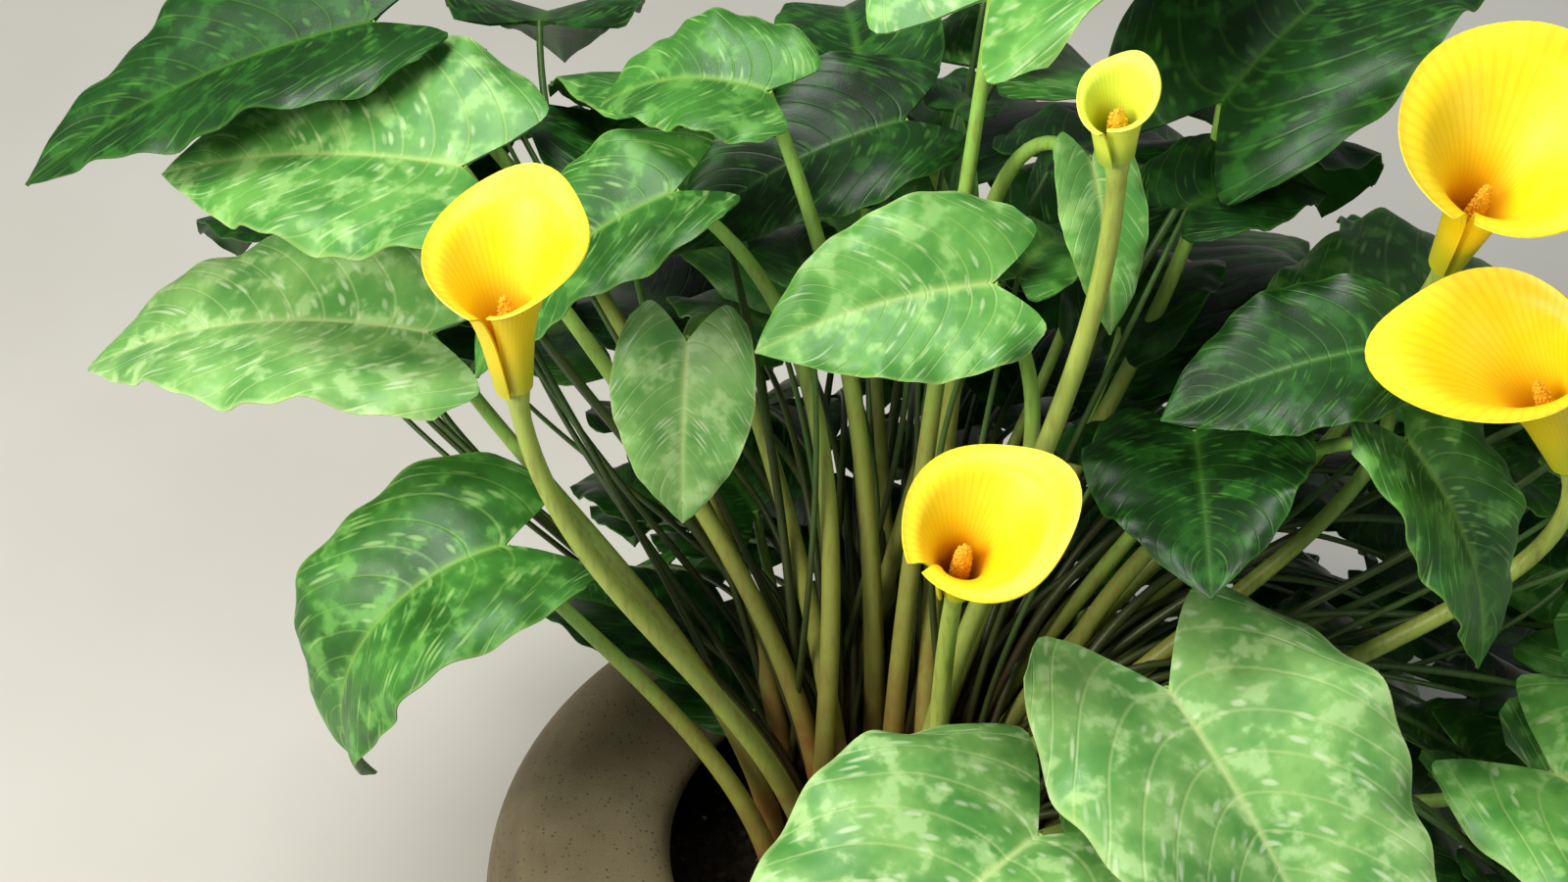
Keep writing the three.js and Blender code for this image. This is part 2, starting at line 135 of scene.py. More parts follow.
LEAVES = (
    Leaf(177, 160, 412, 206, 6, 128, 6, 155, 98, 2, 190, Tone.GREEN),
    Leaf(159, 206, 470, 166, 2, 40, 6, 172, 116, 2, 170, Tone.SUNLIT),
    Leaf(152, 198, 540, 164, 0, 26, 14, 140, 114, 1, 145, Tone.FRESH),
    Leaf(143, 272, 562, 190, -8, 30, 4, 165, 104, 2, 150, Tone.PAINTED_SHADE),
    Leaf(154, 94, 492, 264, -52, 38, 0, 80, 58, 0, 185, Tone.SUNLIT),
    Leaf(150, 102, 558, 196, -14, 56, 6, 115, 72, 1, 180, Tone.GREEN),
    Leaf(125, 92, 588, 162, 10, 56, 14, 75, 64, 1, 100, Tone.GREEN),
    Leaf(34, 40, 536, 190, 2, 30, 34, 95, 74, 1, 65, Tone.FRESH),
    Leaf(30, 80, 580, 292, -50, 36, -8, 70, 34, 0, 5, Tone.FRESH),
    Leaf(334, 118, 390, 300, -12, 42, 4, 190, 148, 0, 320, Tone.SUNLIT),
    Leaf(299, 110, 354, 226, 8, 44, 2, 190, 148, 1, 245, Tone.SUNLIT),
    Leaf(329, 108, 326, 290, 2, 28, 14, 150, 74, 1, 335, Tone.FRESH),
    Leaf(352, 276, 326, 318, 0, 48, 0, 195, 128, 2, 355, Tone.FRESH),
    Leaf(1, 198, 472, 320, -36, 54, 2, 110, 74, 2, 10, Tone.GREEN),
    Leaf(7, 182, 504, 188, -6, 26, 20, 85, 66, 1, 355, Tone.PAINTED_SHADE),
    Leaf(15, 124, 452, 268, 8, 24, -12, 90, 92, 1, 45, Tone.PAINTED_SHADE),
    Leaf(68, 86, 628, 48, 24, 62, 8, 185, 112, 0, 90, Tone.FRESH),
    Leaf(39, 164, 564, 44, 30, 68, -2, 195, 118, 2, 60, Tone.PAINTED_SHADE),
    Leaf(89, 122, 542, 198, -4, 40, 16, 115, 74, 2, 120, Tone.PAINTED_SHADE),
    Leaf(24, 230, 446, 44, -2, 62, 0, 215, 130, 2, 45, Tone.GREEN),
    Leaf(58, 174, 418, 58, 4, 56, -6, 215, 142, 2, 80, Tone.PAINTED_SHADE),
    Leaf(97, 180, 440, 106, 4, 60, 12, 215, 146, 2, 95, Tone.GREEN),
)
FLOWERS = (
    Flower(193, 148, 532, 180, 2, 70, 52, 1.06, 84, 42, 1, 200, Bloom.OPEN),
    Flower(300, 42, 431, 275, 22, 30, 66, 1.06, 78, 40, 1, 305, Bloom.OPEN),
    Flower(356, 72, 616, 245, 12, 60, 30, 1.08, 38, 21, 0, 280, Bloom.BUD),
    Flower(14, 221, 522, 290, 18, 60, 80, 1.06, 108, 50, 1, 25, Bloom.OPEN),
    Flower(1, 262, 462, 195, 26, 175, 60, 1.06, 108, 50, 2, 340, Bloom.OPEN),
)
SHOOTS = (
    Shoot(120, 118, 26, 3, 112, 296, 108, 68),
    Shoot(35, 40, 26, 3, 112, 296, 108, 68),
    Shoot(335, 328, 26, 2, 112, 262, 108, 62),
    Shoot(85, 76, 36, 2, 170, 480, 120, 76),
)


def level(bearing: float) -> np.ndarray:
    """Gives the unit vector that points along a bearing on the level."""
    angle = math.radians(bearing)
    return np.array([math.cos(angle), math.sin(angle), 0.0])


def unit(vectors: np.ndarray) -> np.ndarray:
    """Scales vectors along the last axis to length one."""
    return vectors / np.maximum(np.linalg.norm(vectors, axis=-1, keepdims=True), 1e-12)


def smooth(value: np.ndarray | float, low: float, high: float) -> np.ndarray:
    """Rises smoothly from 0, where a value is low, to 1, where it is high."""
    share = np.clip((value - low) / (high - low), 0.0, 1.0)
    return share * share * (3.0 - 2.0 * share)


def part_way(ends: Span, share: np.ndarray | float) -> np.ndarray | float:
    """Gives the value at a share of the way from one end of a span to the other."""
    return ends[0] + (ends[1] - ends[0]) * share


def bell(value: np.ndarray, width: float) -> np.ndarray:
    """Gives a smooth hump: 1 where a value is 0, and next to nothing beyond twice the width."""
    return np.exp(-((value / width) ** 2))


def bezier(points: Sequence[np.ndarray | Span], steps: int) -> np.ndarray:
    """Samples a cubic Bezier curve.

    Args:
        points: Its four control points.
        steps: How many spans it is cut into.

    Returns:
        An array of steps + 1 points.
    """
    s = np.linspace(0.0, 1.0, steps + 1)[:, None]
    a, b, c, d = np.asarray(points, float)
    return (1 - s) ** 3 * a + 3 * (1 - s) ** 2 * s * b + 3 * (1 - s) * s**2 * c + s**3 * d


def seat_of(row: Leaf | Flower) -> np.ndarray:
    """Gives the joint of a leaf, or the foot of a flower's spathe, in millimetres."""
    return level(row.bearing) * row.reach + UP * row.height


def colour(code: str) -> tuple[float, float, float, float]:
    """Turns an sRGB hex value, with its hash sign, into linear red, green, blue and alpha."""
    parts = [int(code[k : k + 2], 16) / 255 for k in (1, 3, 5)]
    lit = [c / 12.92 if c <= 0.04045 else ((c + 0.055) / 1.055) ** 2.4 for c in parts]
    return (lit[0], lit[1], lit[2], 1.0)


def link(name: str, data: bpy.types.ID) -> bpy.types.Object:
    """Puts an object with its mesh, light or camera into the scene, at the origin."""
    made = bpy.data.objects.new(name, data)
    bpy.context.scene.collection.objects.link(made)
    return made


def add(
    tree: bpy.types.NodeTree,
    kind: str,
    settings: dict[str | int, object] | None = None,
    links: dict[str | int, Socket] | None = None,
) -> bpy.types.Node:
    """Adds a node with its settings and links.

    Args:
        tree: The tree that the node joins.
        kind: The type of node.
        settings: Properties of the node, or values of its input sockets.
        links: For each linked input socket, the node and output socket that feed it.

    Returns:
        The new node.
    """
    node = tree.nodes.new(kind)
    for key, value in (settings or {}).items():
        if isinstance(key, str) and hasattr(node, key):
            setattr(node, key, value)
        else:
            node.inputs[key].default_value = value
    for key, (source, output) in (links or {}).items():
        tree.links.new(source.outputs[output], node.inputs[key])
    return node


@dataclass(frozen=True)
class Gloss:
    """How a surface takes the light: its roughness, one number or a socket, how strongly it bends
    light, and the strength and the depth in millimetres of its fine relief."""

    roughness: Socket | float
    ior: float = 1.5
    relief: float = 0.0
    relief_depth: float = 0.0


class Weave:
    """A material under construction, with the joins of nodes that its finishes share. Each join
    gives the socket of its result."""

    def __init__(self, name: str) -> None:
        """Starts an empty material of that name."""
        self.material = bpy.data.materials.new(name)
        self.material.use_nodes = True
        self.tree = self.material.node_tree
        self.tree.nodes.clear()

    def feed(self, node: bpy.types.Node, inputs: dict[str | int, object]) -> None:
        """Sets a node's inputs, each to a number, to a hex colour or to what a socket gives."""
        for name, value in inputs.items():
            if isinstance(value, tuple):
                self.tree.links.new(value[0].outputs[value[1]], node.inputs[name])
            else:
                node.inputs[name].default_value = colour(value) if isinstance(value, str) else value

    def place(self) -> Socket:
        """Gives where each point lies on the object."""
        return add(self.tree, "ShaderNodeTexCoord"), "Object"

    def value(self, name: str) -> Socket:
        """Gives a number that the mesh holds at each point."""
        return add(self.tree, "ShaderNodeAttribute", {"attribute_name": name}), "Fac"

    def chart(self, name: str) -> Socket:
        """Gives one of the mesh's maps."""
        return add(self.tree, "ShaderNodeUVMap", {"uv_map": name}), "UV"

    def split(self, chart: Socket) -> tuple[Socket, Socket]:
        """Splits a map into its two coordinates."""
        parted = add(self.tree, "ShaderNodeSeparateXYZ", None, {"Vector": chart})
        return (parted, "X"), (parted, "Y")

    def stretch(self, place: Socket, scale: float) -> Socket:
        """Multiplies heights, so that a pattern is drawn out or packed up and down."""
        drawn = add(self.tree, "ShaderNodeMapping", {"Scale": (1.0, 1.0, scale)}, {"Vector": place})
        return drawn, "Vector"

    def noise(self, place: Socket, size: float, detail: float = 2.0, fine: float = 0.5) -> Socket:
        """Adds a cloudy pattern.

        Args:
            place: Where the pattern is read.
            size: Size of its lumps in millimetres.
            detail: How many finer layers lie on them.
            fine: How strong each finer layer is.

        Returns:
            Its strength, from 0 to 1.
        """
        settings = {"Scale": 1 / (size * MM), "Detail": detail, "Roughness": fine}
        return add(self.tree, "ShaderNodeTexNoise", settings, {"Vector": place}), "Fac"

    def cells(self, place: Socket, scale: float) -> tuple[Socket, bpy.types.Node]:
        """Adds a pattern of cells, each with a colour of its own by chance.

        Args:
            place: Where the pattern is read.
            scale: How many cells there are to a unit.

        Returns:
            The distance from the middle of each cell, and the node that parts the cells' colours.
        """
        settings = {"Scale": scale, "Randomness": 1.0}
        spots = add(self.tree, "ShaderNodeTexVoronoi", settings, {"Vector": place})
        parted = add(self.tree, "ShaderNodeSeparateColor", None, {"Color": (spots, "Color")})
        return (spots, "Distance"), parted

    def mix(self, factor: Socket | float, a: Socket | str, b: Socket | str) -> Socket:
        """Mixes colour a with a share of colour b."""
        node = add(self.tree, "ShaderNodeMix", {"data_type": "RGBA"})
        self.feed(node, {0: factor, 6: a, 7: b})
        return node, 2

    def ramp(self, source: Socket, span: Span, top: float = 1.0) -> Socket:
        """Maps a value smoothly to 0 at one end of a span and to top at the other.

        Args:
            source: The value.
            span: The value that gives 0, and the value that gives top.
            top: The highest result.

        Returns:
            The mapped value.
        """
        settings = {
            "interpolation_type": "SMOOTHSTEP",
            "From Min": span[0],
            "From Max": span[1],
            "To Min": 0.0,
            "To Max": top,
        }
        return add(self.tree, "ShaderNodeMapRange", settings, {"Value": source}), "Result"

    def spread(self, source: Socket, span: Span) -> Socket:
        """Spreads a value between 0 and 1 evenly over a span."""
        settings = {"To Min": span[0], "To Max": span[1]}
        return add(self.tree, "ShaderNodeMapRange", settings, {"Value": source}), "Result"

    def math(self, operation: str, a: Socket | float, b: Socket | float = 0.0) -> Socket:
        """Joins two values by the operation of that name."""
        node = add(self.tree, "ShaderNodeMath", {"operation": operation})
        self.feed(node, {0: a, 1: b})
        return node, 0

    def finish(self, base: Socket, gloss: Gloss, height: Socket | None = None) -> bpy.types.Material:
        """Closes the material with its shader.

        Args:
            base: The base colour.
            gloss: How the surface takes the light.
            height: The height of its fine relief, or None.

        Returns:
            The finished material.
        """
        shader = add(self.tree, "ShaderNodeBsdfPrincipled", {"IOR": gloss.ior})
        self.feed(shader, {"Base Color": base, "Roughness": gloss.roughness})
        if height is not None:
            relief = {"Strength": gloss.relief, "Distance": gloss.relief_depth * MM}
            bump = add(self.tree, "ShaderNodeBump", relief, {"Height": height})
            self.feed(shader, {"Normal": (bump, "Normal")})
        add(self.tree, "ShaderNodeOutputMaterial", None, {"Surface": (shader, "BSDF")})
        return self.material


@dataclass(frozen=True)
class LeafFinish:
    """The satin upper skin of a calla blade, with a pale midrib, fine side veins that sweep to the
    margin, silvery flecks between them where the skin stands off the flesh, and pale patches that
    are partly merged flecks and partly painted highlight."""

    name: str
    shade: str
    base: str
    light: str
    fleck: str
    vein: str
    mottle_size: float = 26.0
    mottle_span: Span = (0.3, 0.68)
    # Pale patches: partly flecks that run together, partly a painted highlight on the satin skin.
    patch_and_sheen_size: float = 13.0
    patch_and_sheen_span: Span = (0.5, 0.64)
    patch_and_sheen_strength: float = 0.6
    detail: float = 3.0
    fine: float = 0.55
    grain_size: float = 0.9
    tint_strength: float = 0.35
    fleck_span: Span = (0.42, 0.16)
    fleck_choice: Span = (0.45, 0.6)
    fleck_strength: float = 0.5
    line_span: Span = (0.42, 0.5)
    line_strength: float = 0.34
    margin_span: Span = (0.95, 1.0)
    margin_strength: float = 0.5
    under_strength: float = 0.55
    rough_span: Span = (0.34, 0.52)
    grain_height: float = 0.3
    line_depth: float = 0.7
    ior: float = 1.43
    relief: float = 0.35
    relief_depth: float = 0.7

    def material(self) -> bpy.types.Material:
        """Builds the blade material. Its patterns follow the blade's own map, laid out in metres.

        Returns:
            The material.
        """
        make = Weave(self.name)
        flat = make.chart("blade")
        count, outward = make.split(make.chart("veins"))
        mottle = make.noise(flat, self.mottle_size, self.detail, self.fine)
        # Pale patches, partly merged flecks and partly painted highlight.
        patch = make.noise(flat, self.patch_and_sheen_size, self.detail, self.fine)
        grain = make.noise(flat, self.grain_size)
        spot, chosen = make.cells(make.chart("flecks"), 1.0)

        # A side vein runs where the count passes a whole number.
        middle = make.math("SUBTRACT", make.math("FRACT", count), 0.5)
        line = make.ramp(make.math("ABSOLUTE", middle), self.line_span)

        tint = make.math("MULTIPLY", make.value("tint"), self.tint_strength)
        depth = make.math("ADD", make.ramp(mottle, self.mottle_span), tint)
        body = make.mix(depth, self.shade, self.base)
        # Painted highlight, partly merged flecks: the patches lighten the green towards the light colour.
        sheen_washed = make.mix(make.ramp(patch, self.patch_and_sheen_span, self.patch_and_sheen_strength), body, self.light)
        dots = make.ramp(spot, self.fleck_span, self.fleck_strength)
        picked = make.ramp((chosen, "Red"), self.fleck_choice)
        flecked = make.mix(make.math("MULTIPLY", dots, picked), sheen_washed, self.fleck)
        lined = make.mix(make.math("MULTIPLY", line, self.line_strength), flecked, self.vein)
        margin = make.ramp(outward, self.margin_span, self.margin_strength)
        edged = make.mix(margin, lined, self.vein)
        ribbed = make.mix(make.value("rib"), edged, self.vein)
        under = make.math("MULTIPLY", make.value("under"), self.under_strength)
        turned = make.mix(under, ribbed, self.light)

        raised = make.math("MULTIPLY", grain, self.grain_height)
        sunk = make.math("MULTIPLY", line, self.line_depth)
        roughness = make.spread(mottle, self.rough_span)
        gloss = Gloss(roughness, self.ior, self.relief, self.relief_depth)
        return make.finish(turned, gloss, make.math("SUBTRACT", raised, sunk))


@dataclass(frozen=True)
class StemFinish:
    """Smooth fleshy stem skin: red-brown where the sheaths stand in the soil, olive above them and
    green towards the blade, with faint lengthwise streaks."""

    name: str
    foot: str
    middle: str
    head: str
    streak_size: float = 2.2
    streak_draw: float = 0.12
    streak_detail: float = 3.0
    streak_span: Span = (0.45, 0.75)
    streak_strength: float = 0.4
    blotch_size: float = 14.0
    blotch_strength: float = 0.25
    middle_span: Span = (0.18, 0.5)
    head_span: Span = (0.55, 1.05)
    gloss: Gloss = Gloss(0.42, 1.43, 0.2, 0.5)

    def material(self) -> bpy.types.Material:
        """Builds the stem material, which reads how far up its stem each point lies.

        Returns:
            The material.
        """
        make = Weave(self.name)
        place = make.place()
        drawn = make.stretch(place, self.streak_draw)
        streak = make.noise(drawn, self.streak_size, self.streak_detail)
        blotch = make.math("MULTIPLY", make.noise(place, self.blotch_size), self.blotch_strength)
        rise = make.math("ADD", make.value("rise"), blotch)
        low = make.mix(make.ramp(rise, self.middle_span), self.foot, self.middle)
        high = make.mix(make.ramp(rise, self.head_span), low, self.head)
        dark = make.mix(make.ramp(streak, self.streak_span, self.streak_strength), high, self.foot)
        return make.finish(dark, self.gloss, streak)


@dataclass(frozen=True)
class SpatheFinish:
    """Waxy petal: deep in the throat, clear in the limb and paler at the rim, greener outside at
    the foot, with fine veins that run from foot to rim."""

    name: str
    petal: str
    throat: str
    rim: str
    outside: str
    vein_count: float = 46.0
    vein_span: Span = (-0.2, 1.0)
    vein_strength: float = 0.16
    cloud_size: float = 16.0
    cloud_span: Span = (0.35, 0.75)
    cloud_strength: float = 0.35
    rim_span: Span = (0.86, 1.0)
    rim_strength: float = 0.6
    throat_span: Span = (0.62, 0.12)
    foot_span: Span = (0.5, 0.02)
    foot_strength: float = 0.85
    gloss: Gloss = Gloss(0.46, 1.42, 0.25, 0.6)

    def material(self) -> bpy.types.Material:
        """Builds the petal material. Its map runs round the spathe, then from foot to rim.

        Returns:
            The material.
        """
        make = Weave(self.name)
        around, upward = make.split(make.chart("petal"))
        inner = make.value("under")
        turn = make.math("MULTIPLY", make.math("MULTIPLY", around, self.vein_count), 2 * math.pi)
        lines = make.ramp(make.math("SINE", turn), self.vein_span, self.vein_strength)

        throat = make.math("MULTIPLY", make.ramp(upward, self.throat_span), inner)
        foot = make.ramp(upward, self.foot_span, self.foot_strength)
        green = make.math("MULTIPLY", foot, make.math("SUBTRACT", 1.0, inner))
        cloud = make.noise(make.place(), self.cloud_size)
        clouds = make.ramp(cloud, self.cloud_span, self.cloud_strength)
        body = make.mix(clouds, self.petal, self.rim)
        edged = make.mix(make.ramp(upward, self.rim_span, self.rim_strength), body, self.rim)
        hollow = make.mix(throat, edged, self.throat)
        veined = make.mix(lines, make.mix(green, hollow, self.outside), self.throat)
        return make.finish(veined, self.gloss, lines)


@dataclass(frozen=True)
class StonewareFinish:
    """Matt stoneware, thrown on a wheel and left unglazed: an uneven brown clay with fine dark and
    light grog, faint throwing lines and a rough tooth."""

    name: str = "unglazed_stoneware"
    base: str = "#82765a"
    shade: str = "#6a5f47"
    warm: str = "#8e7f61"
    grog: str = "#332c21"
    cloud_size: float = 70.0
    cloud_detail: float = 4.0
    cloud_fine: float = 0.6
    cloud_span: Span = (0.34, 0.66)
    thrown_size: float = 60.0
    thrown_pack: float = 14.0
    thrown_detail: float = 3.0
    thrown_span: Span = (0.45, 0.72)
    thrown_strength: float = 0.45
    grog_size: float = 2.4
    grog_span: Span = (0.34, 0.16)
    grog_choice: Span = (0.62, 0.7)
    grog_strength: float = 0.75
    tooth_size: float = 1.1
    rough_span: Span = (0.66, 0.86)
    thrown_height: float = 0.6
    tooth_height: float = 0.4
    ior: float = 1.5
    relief: float = 0.5
    relief_depth: float = 1.2

    def material(self) -> bpy.types.Material:
        """Builds the stoneware.

        Returns:
            The material.
        """
        make = Weave(self.name)
        place = make.place()
        cloud = make.noise(place, self.cloud_size, self.cloud_detail, self.cloud_fine)
        layered = make.stretch(place, self.thrown_pack)
        thrown = make.noise(layered, self.thrown_size, self.thrown_detail)
        tooth = make.noise(place, self.tooth_size)
        grog, chosen = make.cells(place, 1 / (self.grog_size * MM))

        body = make.mix(make.ramp(cloud, self.cloud_span), self.shade, self.base)
        rings = make.ramp(thrown, self.thrown_span, self.thrown_strength)
        banded = make.mix(rings, body, self.warm)
        dots = make.ramp(grog, self.grog_span)
        picked = make.ramp((chosen, "Green"), self.grog_choice, self.grog_strength)
        speckled = make.mix(make.math("MULTIPLY", dots, picked), banded, self.grog)

        lines = make.math("MULTIPLY", thrown, self.thrown_height)
        height = make.math("ADD", lines, make.math("MULTIPLY", tooth, self.tooth_height))
        roughness = make.spread(cloud, self.rough_span)
        gloss = Gloss(roughness, self.ior, self.relief, self.relief_depth)
        return make.finish(speckled, gloss, height)


@dataclass(frozen=True)
class CrumbFinish:
    """Loose growing medium: dull, dark and uneven in colour from crumb to crumb."""

    name: str
    base: str
    shade: str
    size: float = 5.0
    detail: float = 5.0
    span: Span = (0.35, 0.68)
    gloss: Gloss = Gloss(0.92, 1.4, 0.7, 2.0)

    def material(self) -> bpy.types.Material:
        """Builds the material of soil or of the bits in it.

        Returns:
            The material.
        """
        make = Weave(self.name)
        lumps = make.noise(make.place(), self.size, self.detail)
        mixed = make.mix(make.ramp(lumps, self.span), self.shade, self.base)
        return make.finish(mixed, self.gloss, lumps)


@dataclass
class Mesh:
    """Points, faces and surface values that are gathered and then made one mesh."""

    points: list[np.ndarray] = field(default_factory=list)
    faces: list[list[int]] = field(default_factory=list)
    values: dict[str, list[np.ndarray]] = field(default_factory=dict)
    maps: dict[str, list[np.ndarray]] = field(default_factory=dict)
    creases: list[np.ndarray] = field(default_factory=list)
    count: int = 0

    def take(
        self,
        points: np.ndarray,
        faces: Sequence[Sequence[int]],
        values: dict[str, np.ndarray] | None = None,
        maps: dict[str, np.ndarray] | None = None,
        creases: np.ndarray | None = None,
    ) -> None:
        """Adds one surface, closed or open.

        Args:
            points: Its points, in millimetres.
            faces: Its faces, as indices of its own points.
            values: A number at each point, by name.
            maps: A pair of map coordinates at each point, by name.
            creases: Pairs of points whose edge stays sharp.
        """
        self.points.append(np.asarray(points, float))
        self.faces.extend([index + self.count for index in face] for face in faces)
        for store, columns in ((self.values, values), (self.maps, maps)):
            for name, column in (columns or {}).items():
                store.setdefault(name, []).append(np.asarray(column, float))
        if creases is not None:
            self.creases.append(np.asarray(creases, int) + self.count)
        self.count += len(points)

    def build(self, name: str, material: bpy.types.Material) -> bpy.types.Object:
        """Makes the object, smooth but for its creases.

        Args:
            name: The object's name.
            material: What it is made of.

        Returns:
            The object, at the origin.
        """
        mesh = bpy.data.meshes.new(name)
        mesh.from_pydata((np.concatenate(self.points) * MM).tolist(), [], self.faces)
        mesh.polygons.foreach_set("use_smooth", np.ones(len(mesh.polygons), bool))
        for key, columns in self.values.items():
            layer = mesh.attributes.new(key, "FLOAT", "POINT")
            layer.data.foreach_set("value", np.concatenate(columns))
        corners = np.zeros(len(mesh.loops), int)
        mesh.loops.foreach_get("vertex_index", corners)
        for key, columns in self.maps.items():
            chart = mesh.uv_layers.new(name=key)
            chart.data.foreach_set("uv", np.concatenate(columns)[corners].ravel())
        if self.creases:
            self.sharpen(mesh)
        mesh.materials.append(material)
        mesh.update()
        return link(name, mesh)

    def sharpen(self, mesh: bpy.types.Mesh) -> None:
        """Marks the creases of a mesh as sharp edges."""
        ends = np.zeros(len(mesh.edges) * 2, int)
        mesh.edges.foreach_get("vertices", ends)
        own = np.sort(ends.reshape(-1, 2), axis=1)
        wanted = np.sort(np.concatenate(self.creases), axis=1)
        key = own[:, 0] * self.count + own[:, 1]
        sharp = np.isin(key, wanted[:, 0] * self.count + wanted[:, 1])
        layer = mesh.attributes.new("sharp_edge", "BOOLEAN", "EDGE")
        layer.data.foreach_set("value", sharp)


def take_sheet(
    mesh: Mesh,
    grid: np.ndarray,
    above: np.ndarray | float,
    below: np.ndarray | float,
    values: dict[str, np.ndarray],
    maps: dict[str, np.ndarray],
) -> None:
    """Adds a closed thin sheet that lies round a grid of points.

    Args:
        mesh: What the sheet joins.
        grid: Rows along the sheet and columns across it, in millimetres.
        above: How far the face on the normal's side stands off the grid.
        below: How far the other face stands off it.
        values: A number at each grid point, by name. "under" is added here.
        maps: Map coordinates at each grid point, by name.
    """
    rows, columns = grid.shape[:2]
    half = rows * columns
    normal = unit(np.cross(np.gradient(grid, axis=1), np.gradient(grid, axis=0)))
    stand = np.broadcast_to(above, (rows, columns))[..., None]
    drop = np.broadcast_to(below, (rows, columns))[..., None]
    points = np.concatenate([(grid + normal * stand).reshape(-1, 3), (grid - normal * drop).reshape(-1, 3)])
    top = np.arange(half).reshape(rows, columns)
    low = top + half

    def strip(*runs: np.ndarray) -> list[list[int]]:
        """Joins four runs of corners into faces."""
        return np.stack([run.ravel() for run in runs], axis=1).tolist()

    faces = strip(top[:-1, :-1], top[:-1, 1:], top[1:, 1:], top[1:, :-1])
    faces += strip(low[:-1, :-1], low[1:, :-1], low[1:, 1:], low[:-1, 1:])
    faces += strip(low[0, :-1], low[0, 1:], top[0, 1:], top[0, :-1])
    faces += strip(low[-1, 1:], low[-1, :-1], top[-1, :-1], top[-1, 1:])
    faces += strip(top[:-1, 0], top[1:, 0], low[1:, 0], low[:-1, 0])
    faces += strip(low[:-1, -1], low[1:, -1], top[1:, -1], top[:-1, -1])
    ring = [side for layer in (top, low) for side in (layer[0], layer[-1], layer[:, 0], layer[:, -1])]
    creases = np.concatenate([np.stack([side[:-1], side[1:]], axis=1) for side in ring])
    doubled = {name: np.tile(column.reshape(half), 2) for name, column in values.items()}
    doubled["under"] = np.repeat([0.0, 1.0], half)
    charts = {name: np.tile(column.reshape(half, 2), (2, 1)) for name, column in maps.items()}
    mesh.take(points, faces, doubled, charts, creases)


def take_turned(mesh: Mesh, outline: np.ndarray, sides: int) -> None:
    """Adds a closed surface turned round the upright axis.

    Args:
        mesh: What the surface joins.
        outline: (radius, height) pairs, bottom first, that start and end on the axis.
        sides: How many faces go round it.
    """
    inner = outline[1:-1]
    turn = np.arange(sides) * (2 * math.pi / sides)
    radius, height = inner[:, 0:1], np.broadcast_to(inner[:, 1:2], (len(inner), sides))
    rings = np.stack([radius * np.cos(turn), radius * np.sin(turn), height], axis=-1)
    first, last = len(inner) * sides, len(inner) * sides + 1
    poles = np.array([[0, 0, outline[0, 1]], [0, 0, outline[-1, 1]]])
    faces = []
    for k in range(sides):
        onward = (k + 1) % sides
        faces.append([first, onward, k])
        faces.append([last, first - sides + k, first - sides + onward])
        for a in range(0, first - sides, sides):
            faces.append([a + k, a + onward, a + sides + onward, a + sides + k])
    mesh.take(np.concatenate([rings.reshape(-1, 3), poles]), faces)


def open_tree(name: str, inputs: dict[str, str], output: str) -> tuple[bpy.types.NodeTree, bpy.types.Node]:
    """Starts a Geometry Nodes tree with its named sockets.

    Args:
        name: The tree's name.
        inputs: The type of each input, by name.
        output: The name of the geometry that comes out.

    Returns:
        The tree and the node that gives its inputs.
    """
    tree = bpy.data.node_groups.new(name, "GeometryNodeTree")
    for label, kind in inputs.items():
        tree.interface.new_socket(label, in_out="INPUT", socket_type=f"NodeSocket{kind}")
    tree.interface.new_socket(output, in_out="OUTPUT", socket_type="NodeSocketGeometry")
    return tree, add(tree, "NodeGroupInput")


def close_tree(tree: bpy.types.NodeTree, made: Socket, given: bpy.types.Node, output: str) -> None:
    """Ends a Geometry Nodes tree: what it made turns into real, smooth faces of one material.

    Args:
        tree: The tree.
        made: What it made.
        given: The node that gives its inputs.
        output: The name of the geometry that comes out.
    """
    real = add(tree, "GeometryNodeRealizeInstances", None, {"Geometry": made})
    soft = add(tree, "GeometryNodeSetShadeSmooth", None, {"Geometry": (real, "Geometry")})
    links = {"Geometry": (soft, "Geometry"), "Material": (given, "Material")}
    dressed = add(tree, "GeometryNodeSetMaterial", None, links)
    add(tree, "NodeGroupOutput", None, {output: (dressed, "Geometry")})


class RodTree:
    """A Geometry Nodes tree that turns chains of edges into round rods, each point of a chain with
    its own girth, and keeps how far up its rod each point lies."""

    def __init__(self) -> None:
        """Builds the tree with inputs for its sides and its material."""
        inputs = {"Chains": "Geometry", "Sides": "Int", "Material": "Material"}
        self.tree, given = open_tree("tapered_rods", inputs, "Rods")
        tree = self.tree
        girth = add(tree, "GeometryNodeInputNamedAttribute", {"data_type": "FLOAT", "Name": "girth"})
        curve = add(tree, "GeometryNodeMeshToCurve", None, {"Mesh": (given, "Chains")})
        round_of = {"Resolution": (given, "Sides")}
        section = add(tree, "GeometryNodeCurvePrimitiveCircle", {"Radius": 1.0}, round_of)
        rods = add(
            tree,
            "GeometryNodeCurveToMesh",
            {"Fill Caps": True},
            {"Curve": (curve, "Curve"), "Profile Curve": (section, "Curve"), "Scale": (girth, "Attribute")},
        )
        close_tree(tree, (rods, "Mesh"), given, "Rods")


@dataclass(frozen=True)
class Bits:
    """One kind of small lump that is strewn: its finish, how many lie on a square metre, the least
    and the greatest radius in millimetres, its proportions, and how far it tips from the surface."""

    name: str
    finish: CrumbFinish | StemFinish
    density: float
    smallest: float
    largest: float
    shape: Place = (1.0, 1.0, 1.0)
    tumble: float = 3.0


